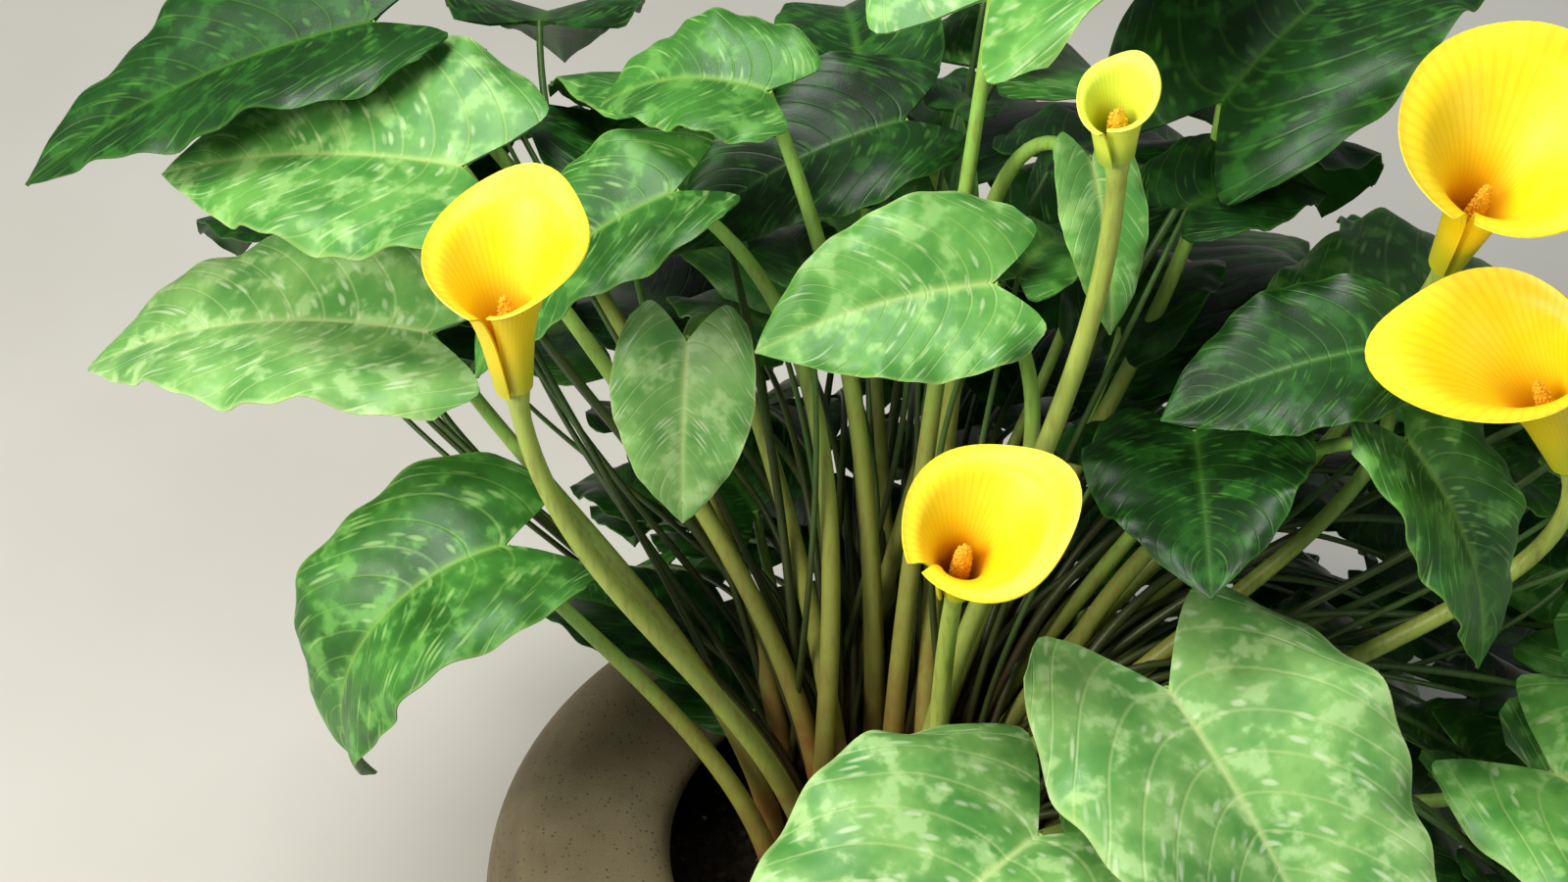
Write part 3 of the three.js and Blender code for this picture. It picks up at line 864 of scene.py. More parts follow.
class ScatterTree:
    """A Geometry Nodes tree that strews small lumps over a surface, each turned and sized by
    chance from a fixed seed."""

    def __init__(self) -> None:
        """Builds the tree with inputs for density, size, shape, seed and material."""
        inputs = {"Ground": "Geometry", "Seed": "Int", "Shape": "Vector", "Material": "Material"}
        inputs |= {name: "Float" for name in ("Density", "Smallest", "Largest", "Tumble")}
        self.tree, given = open_tree("strewn_lumps", inputs, "Lumps")
        tree, seed = self.tree, (given, "Seed")
        strewn = add(
            tree,
            "GeometryNodeDistributePointsOnFaces",
            {"distribute_method": "RANDOM"},
            {"Mesh": (given, "Ground"), "Density": (given, "Density"), "Seed": seed},
        )
        lump = add(tree, "GeometryNodeMeshIcoSphere", {"Radius": 1.0, "Subdivisions": 1})
        size = add(
            tree,
            "FunctionNodeRandomValue",
            {"data_type": "FLOAT"},
            {2: (given, "Smallest"), 3: (given, "Largest"), "Seed": seed},
        )
        tip = add(
            tree,
            "FunctionNodeRandomValue",
            {"data_type": "FLOAT_VECTOR", 0: (-1.0, -1.0, -1.0), 1: (1.0, 1.0, 1.0)},
            {"Seed": seed},
        )
        tipped = {"Euler": self.scale((tip, 0), (given, "Tumble"))}
        turned = add(tree, "FunctionNodeEulerToRotation", None, tipped)
        facing = add(
            tree,
            "FunctionNodeRotateRotation",
            {"rotation_space": "LOCAL"},
            {"Rotation": (strewn, "Rotation"), "Rotate By": (turned, "Rotation")},
        )
        places = {"Points": (strewn, "Points"), "Instance": (lump, "Mesh")}
        turns = {"Rotation": (facing, "Rotation"), "Scale": self.scale((given, "Shape"), (size, 1))}
        placed = add(tree, "GeometryNodeInstanceOnPoints", None, places | turns)
        close_tree(tree, (placed, "Instances"), given, "Lumps")

    def scale(self, vector: Socket, factor: Socket) -> Socket:
        """Multiplies a vector by a number."""
        links = {0: vector, "Scale": factor}
        return add(self.tree, "ShaderNodeVectorMath", {"operation": "SCALE"}, links), 0

    def strew(
        self, ground: bpy.types.Object, bits: Bits, material: bpy.types.Material, seed: int
    ) -> bpy.types.Object:
        """Strews one kind of lump over an object and leaves only the lumps.

        Args:
            ground: The object.
            bits: The kind.
            material: What the lumps are made of.
            seed: What sets their places and turns.

        Returns:
            The same object, which is now the lumps.
        """
        inputs = {
            "Density": bits.density,
            "Smallest": bits.smallest * MM,
            "Largest": bits.largest * MM,
            "Shape": bits.shape,
            "Tumble": bits.tumble,
            "Seed": seed,
            "Material": material,
        }
        return grow(ground, self.tree, inputs)


def grow(source: bpy.types.Object, tree: bpy.types.NodeTree, inputs: dict[str, object]) -> bpy.types.Object:
    """Runs a Geometry Nodes tree on an object and leaves the result as its plain mesh.

    Args:
        source: The object whose mesh the tree starts from.
        tree: The tree.
        inputs: A value for each named input that isn't left as it is.

    Returns:
        The same object, with its new mesh and no modifier.
    """
    modifier = source.modifiers.new("form", "NODES")
    modifier.node_group = tree
    for item in tree.interface.items_tree:
        if item.item_type == "SOCKET" and item.in_out == "INPUT" and item.name in inputs:
            modifier[item.identifier] = inputs[item.name]
    bpy.context.view_layer.update()
    graph = bpy.context.evaluated_depsgraph_get()
    made = bpy.data.meshes.new_from_object(source.evaluated_get(graph))
    source.modifiers.remove(modifier)
    old = source.data
    source.data = made
    bpy.data.meshes.remove(old)
    return source


def declare(piece: bpy.types.Object, nodes: Sequence[str] = ()) -> None:
    """Tells the frame what a finished piece stands for.

    Args:
        piece: The piece.
        nodes: The solids that it replaces.
    """
    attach(piece, BODY)
    if nodes:
        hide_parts(*nodes)
    LOG.info("%s: %d faces, stands for %d solids", piece.name, len(piece.data.polygons), len(nodes))


def numbered(word: str, indices: Sequence[int]) -> list[str]:
    """Names the numbered solids of one kind, from their places in its list."""
    return [f"{word}_{index + 1:02d}" for index in indices]


@dataclass
class Planter:
    """The bellied pot: flat foot, domed shoulder, narrow rolled mouth, hollow above the soil."""

    base_radius: float = 116.0
    foot_round: float = 4.0
    foot_edge: float = 1.2
    foot_flare: float = 0.3
    belly_radius: float = 180.0
    belly_height: float = 214.0
    belly_power: float = 2.2
    wall: float = 9.0
    throwing_pitch: float = 11.0
    throwing_depth: float = 0.35
    shoulder_rise: float = 20.0
    crest_radius: float = 138.0
    crest_height: float = 248.0
    crest_outer: float = 24.0
    crest_inner: float = 18.0
    mouth_radius: float = 97.0
    mouth_height: float = 236.0
    mouth_rise: float = 9.0
    lip_fall: float = 2.4
    lip_turn: float = 2.6
    lip_width: float = 6.0
    lip_depth: float = 5.0
    under_reach: float = 18.0
    under_rise: float = 2.0
    soil_top: float = 196.0
    sides: int = 128
    foot_steps: int = 4
    wall_steps: int = 44
    shoulder_steps: int = 16
    fall_steps: int = 12
    lip_steps: int = 5
    under_steps: int = 10
    inner_steps: int = 14

    def belly(self, height: np.ndarray | float) -> np.ndarray | float:
        """Gives the outer radius at a height on the belly."""
        below = 1 - height / self.belly_height
        return self.belly_radius - (self.belly_radius - self.base_radius) * below**self.belly_power

    def outline(self) -> np.ndarray:
        """Draws the outline from the middle of the underside round to the middle of the inside.

        Returns:
            (radius, height) pairs.
        """
        foot, edge, wall = self.base_radius, self.foot_edge, self.wall
        b, c, m = self.belly_radius, self.crest_radius, self.mouth_radius
        bh, ch, mh = self.belly_height, self.crest_height, self.mouth_height
        low = mh - self.lip_depth
        corner = [
            (foot - self.foot_round, 0.0),
            (foot - edge, 0.0),
            (foot + self.foot_flare, edge),
            (self.belly(self.foot_round), self.foot_round),
        ]
        heights = np.linspace(self.foot_round, bh, self.wall_steps)[1:]
        lines = self.throwing_depth * np.sin(2 * math.pi * heights / self.throwing_pitch) ** 2
        outer = np.stack([self.belly(heights) - lines, heights], axis=1)
        outer[-1, 0] = b
        shoulder = [(b, bh), (b, bh + self.shoulder_rise), (c + self.crest_outer, ch), (c, ch)]
        fall = [(c, ch), (c - self.crest_inner, ch), (m, mh + self.mouth_rise), (m, mh)]
        lip = [(m, mh), (m, mh - self.lip_fall), (m + self.lip_turn, low), (m + self.lip_width, low)]
        turn = [(m + self.under_reach, mh), (b - wall, ch - wall + self.under_rise), (b - wall, bh)]
        inside = np.linspace(bh, wall, self.inner_steps)[1:]
        runs = [
            [[0.0, 0.0]],
            bezier(corner, self.foot_steps),
            outer,
            bezier(shoulder, self.shoulder_steps)[1:],
            bezier(fall, self.fall_steps)[1:],
            bezier(lip, self.lip_steps)[1:],
            bezier([lip[-1], *turn], self.under_steps)[1:],
            np.stack([self.belly(inside) - wall, inside], axis=1),
            [[0.0, wall]],
        ]
        return np.concatenate([np.asarray(run, float) for run in runs])

    def build(self) -> None:
        """Makes the planter in stoneware."""
        mesh = Mesh()
        take_turned(mesh, self.outline(), self.sides)
        declare(mesh.build("planter", StonewareFinish().material()), ["pot"])


BITS = (
    Bits("compost_crumbs", CrumbFinish("peat_crumbs", "#3a2c1f", "#17120c"), 26000.0, 0.9, 2.6),
    Bits(
        "bark_chips",
        CrumbFinish("pine_bark", "#5a4330", "#2a1e14", 3.0),
        density=3200.0,
        smallest=2.2,
        largest=4.6,
        shape=(1.6, 0.8, 0.35),
        tumble=0.6,
    ),
    Bits("perlite_grit", CrumbFinish("perlite", "#c9c3b4", "#8f897a", 1.5), 1500.0, 0.8, 1.9),
)


@dataclass
class Compost:
    """The soil: a body that fills the belly, with crumbs, bark and a little grit on top."""

    planter: Planter
    gap: float = 0.35
    rings: int = 22
    sides: int = 72
    side_levels: int = 8
    side_stop: float = 6.0
    edge_sink: float = 4.0
    edge_span: Span = (120.0, 168.0)
    heave: float = 3.0
    heave_share: float = 0.4
    heave_sink: float = 0.2
    swell: Span = (17.0, 21.0)
    swell_start: Span = (1.3, 0.4)
    ripple: float = 9.0
    ripple_share: float = 0.6
    patch_margin: float = 34.0
    patch_inner: float = 2.0
    patch_rings: int = 14
    patch_sides: int = 48
    seed: int = 11

    def heights(self, x: np.ndarray, y: np.ndarray) -> np.ndarray:
        """Gives the heights of the uneven top at places to the right and away from the viewer."""
        swell = np.sin(x / self.swell[0] + self.swell_start[0])
        swell = swell * np.cos(y / self.swell[1] - self.swell_start[1])
        waves = swell + self.ripple_share * np.sin((x + y) / self.ripple)
        heaved = self.planter.soil_top + self.heave * (self.heave_share * waves - self.heave_sink)
        return heaved - self.edge_sink * smooth(np.hypot(x, y), *self.edge_span)

    def body(self) -> Mesh:
        """Builds the closed body of soil."""
        pot = self.planter
        floor = pot.wall + self.gap
        levels = np.linspace(floor, pot.soil_top - self.side_stop, self.side_levels)
        side = np.stack([pot.belly(levels) - pot.wall - self.gap, levels], axis=1)
        edge = side[-1, 0]
        top = [[edge * (1 - k / self.rings), pot.soil_top] for k in range(self.rings)]
        outline = np.concatenate([[[0.0, floor]], side, top, [[0.0, pot.soil_top]]])
        mesh = Mesh()
        take_turned(mesh, outline, self.sides)
        points = mesh.points[0]
        raised = points[:, 2] > pot.soil_top - self.side_stop / 2
        points[raised, 2] = self.heights(points[raised, 0], points[raised, 1])
        return mesh

    def ground(self) -> Mesh:
        """Builds the open patch under the mouth that crumbs are strewn on."""
        sides, outer = self.patch_sides, self.planter.mouth_radius + self.patch_margin
        turn = np.arange(sides) * 2 * math.pi / sides
        radius = np.linspace(self.patch_inner, outer, self.patch_rings)[:, None]
        x, y = radius * np.cos(turn), radius * np.sin(turn)
        points = np.stack([x, y, self.heights(x, y)], axis=-1).reshape(-1, 3)
        faces = [
            [start + k, start + sides + k, start + sides + (k + 1) % sides, start + (k + 1) % sides]
            for start in range(0, (self.patch_rings - 1) * sides, sides)
            for k in range(sides)
        ]
        mesh = Mesh()
        mesh.take(points, faces)
        return mesh

    def build(self, tree: ScatterTree) -> None:
        """Makes the soil, and what lies on it with the tree that strews it."""
        soil = CrumbFinish("peat_compost", "#2e241a", "#14100b")
        declare(self.body().build("compost", soil.material()), ["soil"])
        for k, bits in enumerate(BITS):
            material = bits.finish.material()
            ground = self.ground().build(bits.name, material)
            declare(tree.strew(ground, bits, material, self.seed + k))


@dataclass(frozen=True)
class Laid:
    """The plain surface of a blade, with its outward normals and, at each point, the share of the
    way along, the share of the way across, half the width there and the distance from the joint."""

    grid: np.ndarray
    normal: np.ndarray
    s: np.ndarray
    t: np.ndarray
    half: np.ndarray
    distance: np.ndarray


@dataclass
class BladeForm:
    """How every blade is shaped: an arrow outline with two rounded lobes behind the joint, folded
    up along the midrib, arched down to the tip, quilted between its side veins and waved at the
    margin."""

    thickness: float = 1.3
    across: int = 32
    along: int = 88
    lobe_length: float = 0.2
    lobe_fade: float = 0.55
    lobe_round: float = 1.95
    lobe_corner: float = 0.42
    corner_span: Span = (0.62, 1.05)
    crowding: float = 1.2
    shoulder: float = 0.12
    shoulder_power: float = 0.45
    tip_power: float = 0.95
    tip_half_width: float = 0.5
    fold: float = 0.34
    fold_power: float = 1.3
    curl: float = 0.2
    wave_height: float = 0.09
    waves: float = 2.5
    wave_step: float = 0.37
    wave_lag: float = 2.0
    ripple_height: float = 0.035
    ripples: float = 7.0
    ripple_step: float = 0.61
    ripple_lag: float = 1.1
    usual_length: float = 200.0
    vein_count: float = 12.0
    vein_start: float = 0.4
    vein_sweep: float = 0.3
    vein_bend: float = 1.2
    quilt: float = 0.8
    quilt_power: float = 0.7
    quilt_sink: float = 0.6
    quilt_span: Span = (2.0, 14.0)
    quilt_tip: float = 0.12
    groove_depth: float = 0.5
    groove_width: float = 2.4
    groove_power: float = 0.6
    rib_height: float = 2.4
    rib_width: float = 2.6
    rib_fade: float = 0.85
    line_width: float = 1.5
    line_fade: float = 0.6
    edge_thinning: float = 0.55
    map_steps: Span = (0.37, 0.21)
    tint_step: float = 0.618
    flecks_between: float = 3.6
    fleck_length: float = 9.0
    fleck_steps: Span = (7.0, 3.1)
    sample_step: float = 2.8
    fewest: int = 6

    def frames(self, leaf: Leaf, distance: np.ndarray) -> tuple[np.ndarray, np.ndarray]:
        """Gives the direction of a blade's right side and its upward normal, at distances along its
        midrib."""
        slope = np.radians(leaf.pitch - leaf.droop * distance / leaf.length)[..., None]
        roll = math.radians(leaf.roll)
        heading = level(leaf.heading)
        upright = -heading * np.sin(slope) + UP * np.cos(slope)
        right = np.cross(heading, UP)
        normal = upright * math.cos(roll) - right * math.sin(roll)
        return right * math.cos(roll) + upright * math.sin(roll), normal

    def midrib(self, leaf: Leaf, distance: np.ndarray) -> np.ndarray:
        """Gives points of the midrib, an arc in the upright plane of the heading, at distances from
        the joint."""
        start = math.radians(leaf.pitch)
        bend = math.radians(leaf.droop) / leaf.length
        slope = start - bend * distance
        out = ((math.sin(start) - np.sin(slope)) / bend)[..., None]
        rise = ((np.cos(slope) - math.cos(start)) / bend)[..., None]
        return seat_of(leaf) + level(leaf.heading) * out + UP * rise

    def half_width(self, leaf: Leaf, s: np.ndarray) -> np.ndarray:
        """Gives half the width of a blade at shares of the way along it, before its lobes are swept
        back."""
        power, tip = self.shoulder_power, self.tip_power
        widest = (power - self.shoulder * tip) / (power + tip)
        shape = (s + self.shoulder) ** power * np.maximum(1 - s, 0) ** tip
        most = (widest + self.shoulder) ** power * (1 - widest) ** tip
        return np.maximum(self.tip_half_width, leaf.width / 2 * shape / most)

    def lay(self, leaf: Leaf, index: int, rows: int, columns: int) -> Laid:
        """Lays the plain surface of a blade: lobes, fold, curl and waves, without veins.

        Args:
            leaf: The leaf.
            index: Its place in the list, which sets its own waves.
            rows: How many faces lie along it.
            columns: How many faces lie across it.

        Returns:
            The surface and what is known at each of its points.
        """
        u = np.linspace(-1.0, 1.0, columns + 1)
        crowd = np.sign(u) * np.abs(u) ** self.crowding
        s, t = np.meshgrid(np.linspace(0.0, 1.0, rows + 1), crowd, indexing="ij")
        side = np.abs(t)
        fade = np.maximum(0.0, 1 - s / self.lobe_fade)
        corner = 1 - self.lobe_corner * smooth(side, *self.corner_span)
        swept = self.lobe_length * leaf.length * fade**2 * np.sin(side * self.lobe_round) * corner
        distance = s * leaf.length - swept
        half = self.half_width(leaf, s)
        slow = 2 * math.pi * (self.waves * s + self.wave_step * index)
        wave = self.wave_height * half * side**3 * np.sin(slow + np.where(t > 0, 0.0, self.wave_lag))
        fast = 2 * math.pi * (self.ripples * s + self.ripple_step * index)
        ripple = self.ripple_height * half * side**5 * np.sin(fast + np.where(t > 0, 0.0, self.ripple_lag))
        lift = half * (self.fold * side**self.fold_power - self.curl * side**4) + wave + ripple
        right, normal = self.frames(leaf, distance)
        grid = self.midrib(leaf, distance) + right * (half * t)[..., None]
        return Laid(grid + normal * lift[..., None], normal, s, t, half, distance)

    def samples(self, leaf: Leaf, index: int, step: float | None = None) -> np.ndarray:
        """Gives points of a blade, by default closer together than the cells of the crown.

        Args:
            leaf: The leaf.
            index: Its place in the list.
            step: How far apart they lie in millimetres, or None for the usual step.

        Returns:
            The points.
        """
        sizes = (leaf.length, leaf.width)
        rows, columns = (max(self.fewest, round(size / (step or self.sample_step))) for size in sizes)
        return self.lay(leaf, index, rows, columns).grid.reshape(-1, 3)

    def take(self, mesh: Mesh, leaf: Leaf, index: int, fineness: float = 1.0) -> None:
        """Adds one blade to a mesh, with its veins and its two faces.

        Args:
            mesh: What the blade joins.
            leaf: The leaf.
            index: Its place in the list, which sets its own waves and tint.
            fineness: Share of the usual number of faces each way.
        """
        laid = self.lay(leaf, index, round(self.along * fineness), 2 * round(self.across * fineness / 2))
        side = np.abs(laid.t)
        offset = laid.half * side
        veins = self.vein_count * (laid.s - self.vein_sweep * side**self.vein_bend + self.vein_start)
        scale = leaf.length / self.usual_length
        fading = smooth(offset, *self.quilt_span) * (1 - side**6) * smooth(1 - laid.s, 0.0, self.quilt_tip)
        pillow = np.abs(np.sin(math.pi * veins)) ** self.quilt_power - self.quilt_sink
        groove = self.groove_depth * bell(offset, self.groove_width) * (1 - laid.s) ** self.groove_power
        rib = bell(offset, self.rib_width) * (1 - self.rib_fade * laid.s)
        grid = laid.grid + laid.normal * (self.quilt * scale * fading * pillow - groove)[..., None]
        right, ahead = self.map_steps[0] * index + leaf.heading / 90, self.map_steps[1] * index
        sideways, onward = (step * index for step in self.fleck_steps)
        values = {
            "rib": bell(offset, self.line_width) * (1 - self.line_fade * laid.s),
            "tint": np.full(laid.s.shape, (index * self.tint_step) % 1.0),
        }
        charts = {
            "blade": (laid.half * laid.t * MM + right, laid.distance * MM + ahead),
            "veins": (veins, side),
            "flecks": (veins * self.flecks_between + sideways, offset / self.fleck_length + onward),
        }
        maps = {name: np.stack(pair, axis=-1) for name, pair in charts.items()}
        thin = self.thickness / 2 * (1 - self.edge_thinning * side**4)
        take_sheet(mesh, grid, thin, thin + self.rib_height * rib * scale, values, maps)


# One leaf material in four tones: the same green with more or less painted light or painted shade in its
# colours.
LEAF_FINISHES = {
    Tone.SUNLIT: LeafFinish("calla_blade_sunlit", "#4a8b3e", "#84b662", "#b4d893", "#d6e8be", "#b9d389"),
    Tone.FRESH: LeafFinish("calla_blade_fresh", "#397b30", "#68a64a", "#9bca77", "#bfdaa2", "#a3c26c"),
    Tone.GREEN: LeafFinish("calla_blade_green", "#215316", "#3f7e2c", "#69a54b", "#9ac472", "#76a447"),
    Tone.PAINTED_SHADE: LeafFinish("calla_blade_shaded", "#0b2a06", "#15440d", "#2c671e", "#4e8834", "#407323"),
}


@dataclass
class Foliage:
    """The large blades, one piece for each tone of green, that is for each amount of painted light or
    painted shade.
    """

    form: BladeForm

    def build(self) -> None:
        """Makes the blades."""
        for tone, finish in LEAF_FINISHES.items():
            mesh = Mesh()
            mine = [k for k, leaf in enumerate(LEAVES) if leaf.tone is tone]
            for k in mine:
                self.form.take(mesh, LEAVES[k], k)
            piece = mesh.build(f"blades_{tone.value}", finish.material())
            declare(piece, numbered("blade", mine))


@dataclass
class Chains:
    """Chains of edges, each point with a girth and a share of the way up, for the rod tree."""

    points: list[np.ndarray] = field(default_factory=list)
    girths: list[np.ndarray] = field(default_factory=list)
    rises: list[np.ndarray] = field(default_factory=list)

    def take(self, points: np.ndarray, girth: np.ndarray, rise: np.ndarray) -> None:
        """Adds one chain: its points and, at each, its radius and the share of the way up."""
        self.points.append(points)
        self.girths.append(girth)
        self.rises.append(rise)

    def build(self, name: str, material: bpy.types.Material, tree: RodTree, sides: int) -> bpy.types.Object:
        """Turns the chains into rods.

        Args:
            name: The piece's name.
            material: What the rods are made of.
            tree: The tree that makes them.
            sides: How many faces go round each rod.

        Returns:
            The piece.
        """
        mesh = bpy.data.meshes.new(name)
        edges = []
        start = 0
        for run in self.points:
            edges += [(start + k, start + k + 1) for k in range(len(run) - 1)]
            start += len(run)
        mesh.from_pydata((np.concatenate(self.points) * MM).tolist(), edges, [])
        for label, runs, scale in (("girth", self.girths, MM), ("rise", self.rises, 1.0)):
            layer = mesh.attributes.new(label, "FLOAT", "POINT")
            layer.data.foreach_set("value", np.concatenate(runs) * scale)
        return grow(link(name, mesh), tree.tree, {"Sides": sides, "Material": material})


@dataclass
class Clump:
    """Where stems and stalks stand, and how they rise."""

    soil_top: float
    rings: Place = (15.0, 31.0, 48.0)
    sunk: float = 6.0
    rise: float = 0.42
    hanging_rise: float = 0.5
    arrive: float = 0.34
    hanging_arrive: float = 0.16
    lean: float = 0.6
    steps: int = 40

    def foot(self, radius: float, root: float) -> np.ndarray:
        """Gives the foot of a stem, a little below the soil, from its ring's radius and its bearing."""
        return level(root) * radius + UP * (self.soil_top - self.sunk)

    def arrival(self, leaf: Leaf) -> np.ndarray:
        """Gives the direction in which a stem arrives under its blade."""
        pitch = math.radians(leaf.pitch)
        heading = level(leaf.heading)
        ahead = heading * math.cos(pitch) + UP * math.sin(pitch)
        upright = -heading * math.sin(pitch) + UP * math.cos(pitch)
        return unit(upright + ahead * self.lean)

    def path(
        self, foot: np.ndarray, head: np.ndarray, arrival: np.ndarray, hangs: float = 0.0
    ) -> np.ndarray:
        """Draws a stem from foot to head: upright first, then bent over to arrive.

        Args:
            foot: Where it stands.
            head: Where it ends.
            arrival: The direction in which it ends.
            hangs: How much it arches over to hang down, from 0 to 1.

        Returns:
            Its points.
        """
        span = float(np.linalg.norm(head - foot))
        rise, arrive = self.rise + self.hanging_rise * hangs, self.arrive + self.hanging_arrive * hangs
        return bezier([foot, foot + UP * rise * span, head - arrival * arrive * span, head], self.steps)

    def shares(self) -> np.ndarray:
        """Gives the share of the way up at each point of a path."""
        return np.linspace(0.0, 1.0, self.steps + 1)


STEM_FINISH = StemFinish("calla_petiole", "#80502c", "#8e9440", "#93c355")
SHADED_FINISH = StemFinish("calla_petiole_shaded", "#3a2819", "#39441c", "#46692c")
STALK_FINISH = StemFinish("calla_scape", "#704e2a", "#8d9c45", "#aabc55")


# Leaves, each with the path of its stem.
Grown = list[tuple[Leaf, np.ndarray]]


@dataclass
class LeafStems:
    """The leaf stems: fleshy tubes, sheathed and thicker at the foot."""

    clump: Clump
    form: BladeForm
    radii: Span = (5.2, 2.6)
    sheath: float = 1.2
    sheath_share: float = 0.12
    below_blade: float = 1.2
    sides: int = 12

    def build(self, tree: RodTree) -> Grown:
        """Makes the stems of the large leaves, and gives each leaf with the path of its stem."""
        chains = Chains()
        rise = self.clump.shares()
        girth = part_way(self.radii, rise) + self.sheath * bell(rise, self.sheath_share)
        for leaf in LEAVES:
            foot = self.clump.foot(self.clump.rings[leaf.ring], leaf.root)
            _, normal = self.form.frames(leaf, np.zeros(1))
            head = seat_of(leaf) - normal[0] * self.below_blade
            chains.take(self.clump.path(foot, head, self.clump.arrival(leaf)), girth, rise)
        piece = chains.build("leaf_stems", STEM_FINISH.material(), tree, self.sides)
        declare(piece, numbered("leaf_stem", range(len(LEAVES))))
        return list(zip(LEAVES, chains.points))


SPATHE_FINISHES = {
    Bloom.OPEN: SpatheFinish("calla_spathe_yellow", "#fbdb12", "#e89604", "#fde842", "#bcc42a"),
    Bloom.BUD: SpatheFinish("calla_spathe_bud", "#e2f04a", "#b4c22c", "#f0f668", "#93b63c"),
}
SPADIX_FINISH = StemFinish("calla_spadix", "#b9761a", "#d9981f", "#e8b02a", 1.0)


@dataclass
class Flowers:
    """The flowers: a stalk, a spadix set with florets, and a spathe rolled round it."""

    clump: Clump
    stalk_radii: Span = (4.8, 3.6)
    collar: float = 1.8
    collar_span: Span = (0.965, 1.0)
    inside_heights: Span = (3.0, 6.0)
    inside_swell: Span = (0.8, -0.6)
    spadix_radius: float = 3.6
    spadix_steps: int = 16
    spadix_start: float = 0.04
    spadix_tip: float = 0.02
    spadix_waist: float = 0.82
    waist_end: float = 0.5
    thickness: float = 1.1
    edge_thinning: float = 0.4
    foot_wall: float = 1.6
    clear: float = 0.5
    overlap: float = 2.8
    throat: float = 0.24
    throat_angle: float = 7.0
    side_height: float = 0.62
    crest_height: float = 0.3
    crest_power: float = 1.5
    point_height: float = 0.08
    point_width: float = 0.16
    across: int = 72
    along: int = 40
    lip: float = 4.0
    lip_out: float = 0.6
    lip_span: Span = (0.78, 1.0)
    unwrap: float = 0.1
    ruffle: float = 0.02
    ruffles: float = 4.0
    ruffle_step: float = 1.7
    sides: int = 14
    florets: Bits = Bits("spadix_florets", SPADIX_FINISH, 420000.0, 0.6375, 0.85, tumble=0.3)
    seed: int = 5

    def axes(self, flower: Flower) -> tuple[np.ndarray, np.ndarray, np.ndarray]:
        """Gives a flower's axis, its side and the direction of its tall back."""
        tilt = math.radians(flower.tilt)
        axis = level(flower.lean) * math.sin(tilt) + UP * math.cos(tilt)
        side = unit(np.cross(axis, level(flower.back)))
        return axis, side, np.cross(side, axis)

    def take_spathe(self, mesh: Mesh, flower: Flower, index: int) -> None:
        """Adds one spathe: a straight throat, a limb that turns out and rolls back at its lip.

        Args:
            mesh: What the spathe joins.
            flower: The flower.
            index: Its place in the list, which sets its ruffles.
        """
        axis, side, back = self.axes(flower)
        s, t = np.meshgrid(
            np.linspace(0.0, 1.0, self.along + 1), np.linspace(-1.0, 1.0, self.across + 1), indexing="ij"
        )
        throat = self.throat * flower.length
        start, end = math.radians(self.throat_angle), math.radians(flower.open)
        bend = (end - start) / (flower.length - throat)
        foot = self.stalk_radii[1] + self.clear + (self.foot_wall + self.overlap) / 2
        crest = np.maximum(np.cos(t * math.pi / 2), 0.0) ** self.crest_power
        point = self.point_height * bell(t, self.point_width)
        distance = s * flower.length * (self.side_height + self.crest_height * crest + point)
        turn = np.maximum(0.0, distance - throat) * bend
        plain = np.minimum(distance, throat)
        out = foot + math.sin(start) * plain + (math.cos(start) - np.cos(start + turn)) / bend
        rise = math.cos(start) * plain + (np.sin(start + turn) - math.sin(start)) / bend
        rolled = self.lip * smooth(s, *self.lip_span) ** 2 * math.sin(end)
        angle = t * math.pi * (flower.wrap - self.unwrap * s)
        ruffle = self.ruffle * s**3 * np.sin(self.ruffles * angle + self.ruffle_step * index)
        radius = (out + self.lip_out * rolled) * (1 + ruffle) + self.overlap / 2 * t
        grid = (
            seat_of(flower)
            + axis * (rise - rolled)[..., None]
            + back * (radius * np.cos(angle))[..., None]
            + side * (radius * np.sin(angle))[..., None]
        )
        thin = self.thickness / 2 * (1 - self.edge_thinning * s**4)
        maps = {"petal": np.stack([t * 0.5 + 0.5, s], axis=-1)}
        take_sheet(mesh, grid, thin, thin, {"rise": s}, maps)

    def take_stalk(self, chains: Chains, flower: Flower) -> None:
        """Adds the stalk, up to the foot of the spathe and a little into it."""
        axis, _, _ = self.axes(flower)
        foot = self.clump.foot(self.clump.rings[flower.ring], flower.root)
        seat = seat_of(flower)
        rise = self.clump.shares()
        girth = part_way(self.stalk_radii, rise) + self.collar * smooth(rise, *self.collar_span)
        points = [self.clump.path(foot, seat, axis), seat + axis * np.array(self.inside_heights)[:, None]]
        girths = np.concatenate([girth, self.stalk_radii[1] + np.array(self.inside_swell)])
        chains.take(np.concatenate(points), girths, np.concatenate([rise, [1.0, 1.0]]))

    def take_spadix(self, chains: Chains, flower: Flower) -> None:
        """Adds the core of a spadix, thickest in the middle and round at the end."""
        axis, _, _ = self.axes(flower)
        start, waist, tip = self.spadix_start, self.spadix_waist, self.spadix_tip
        share = np.linspace(0.0, 1.0, self.spadix_steps + 1)
        points = seat_of(flower) + axis * (flower.spadix * (start + (1 - start) * share))[:, None]
        rounded = np.sqrt(np.maximum(1 + tip - share**4, tip))
        swelling = waist + (1 - waist) * smooth(share, 0, self.waist_end)
        chains.take(points, self.spadix_radius * rounded * swelling, share)

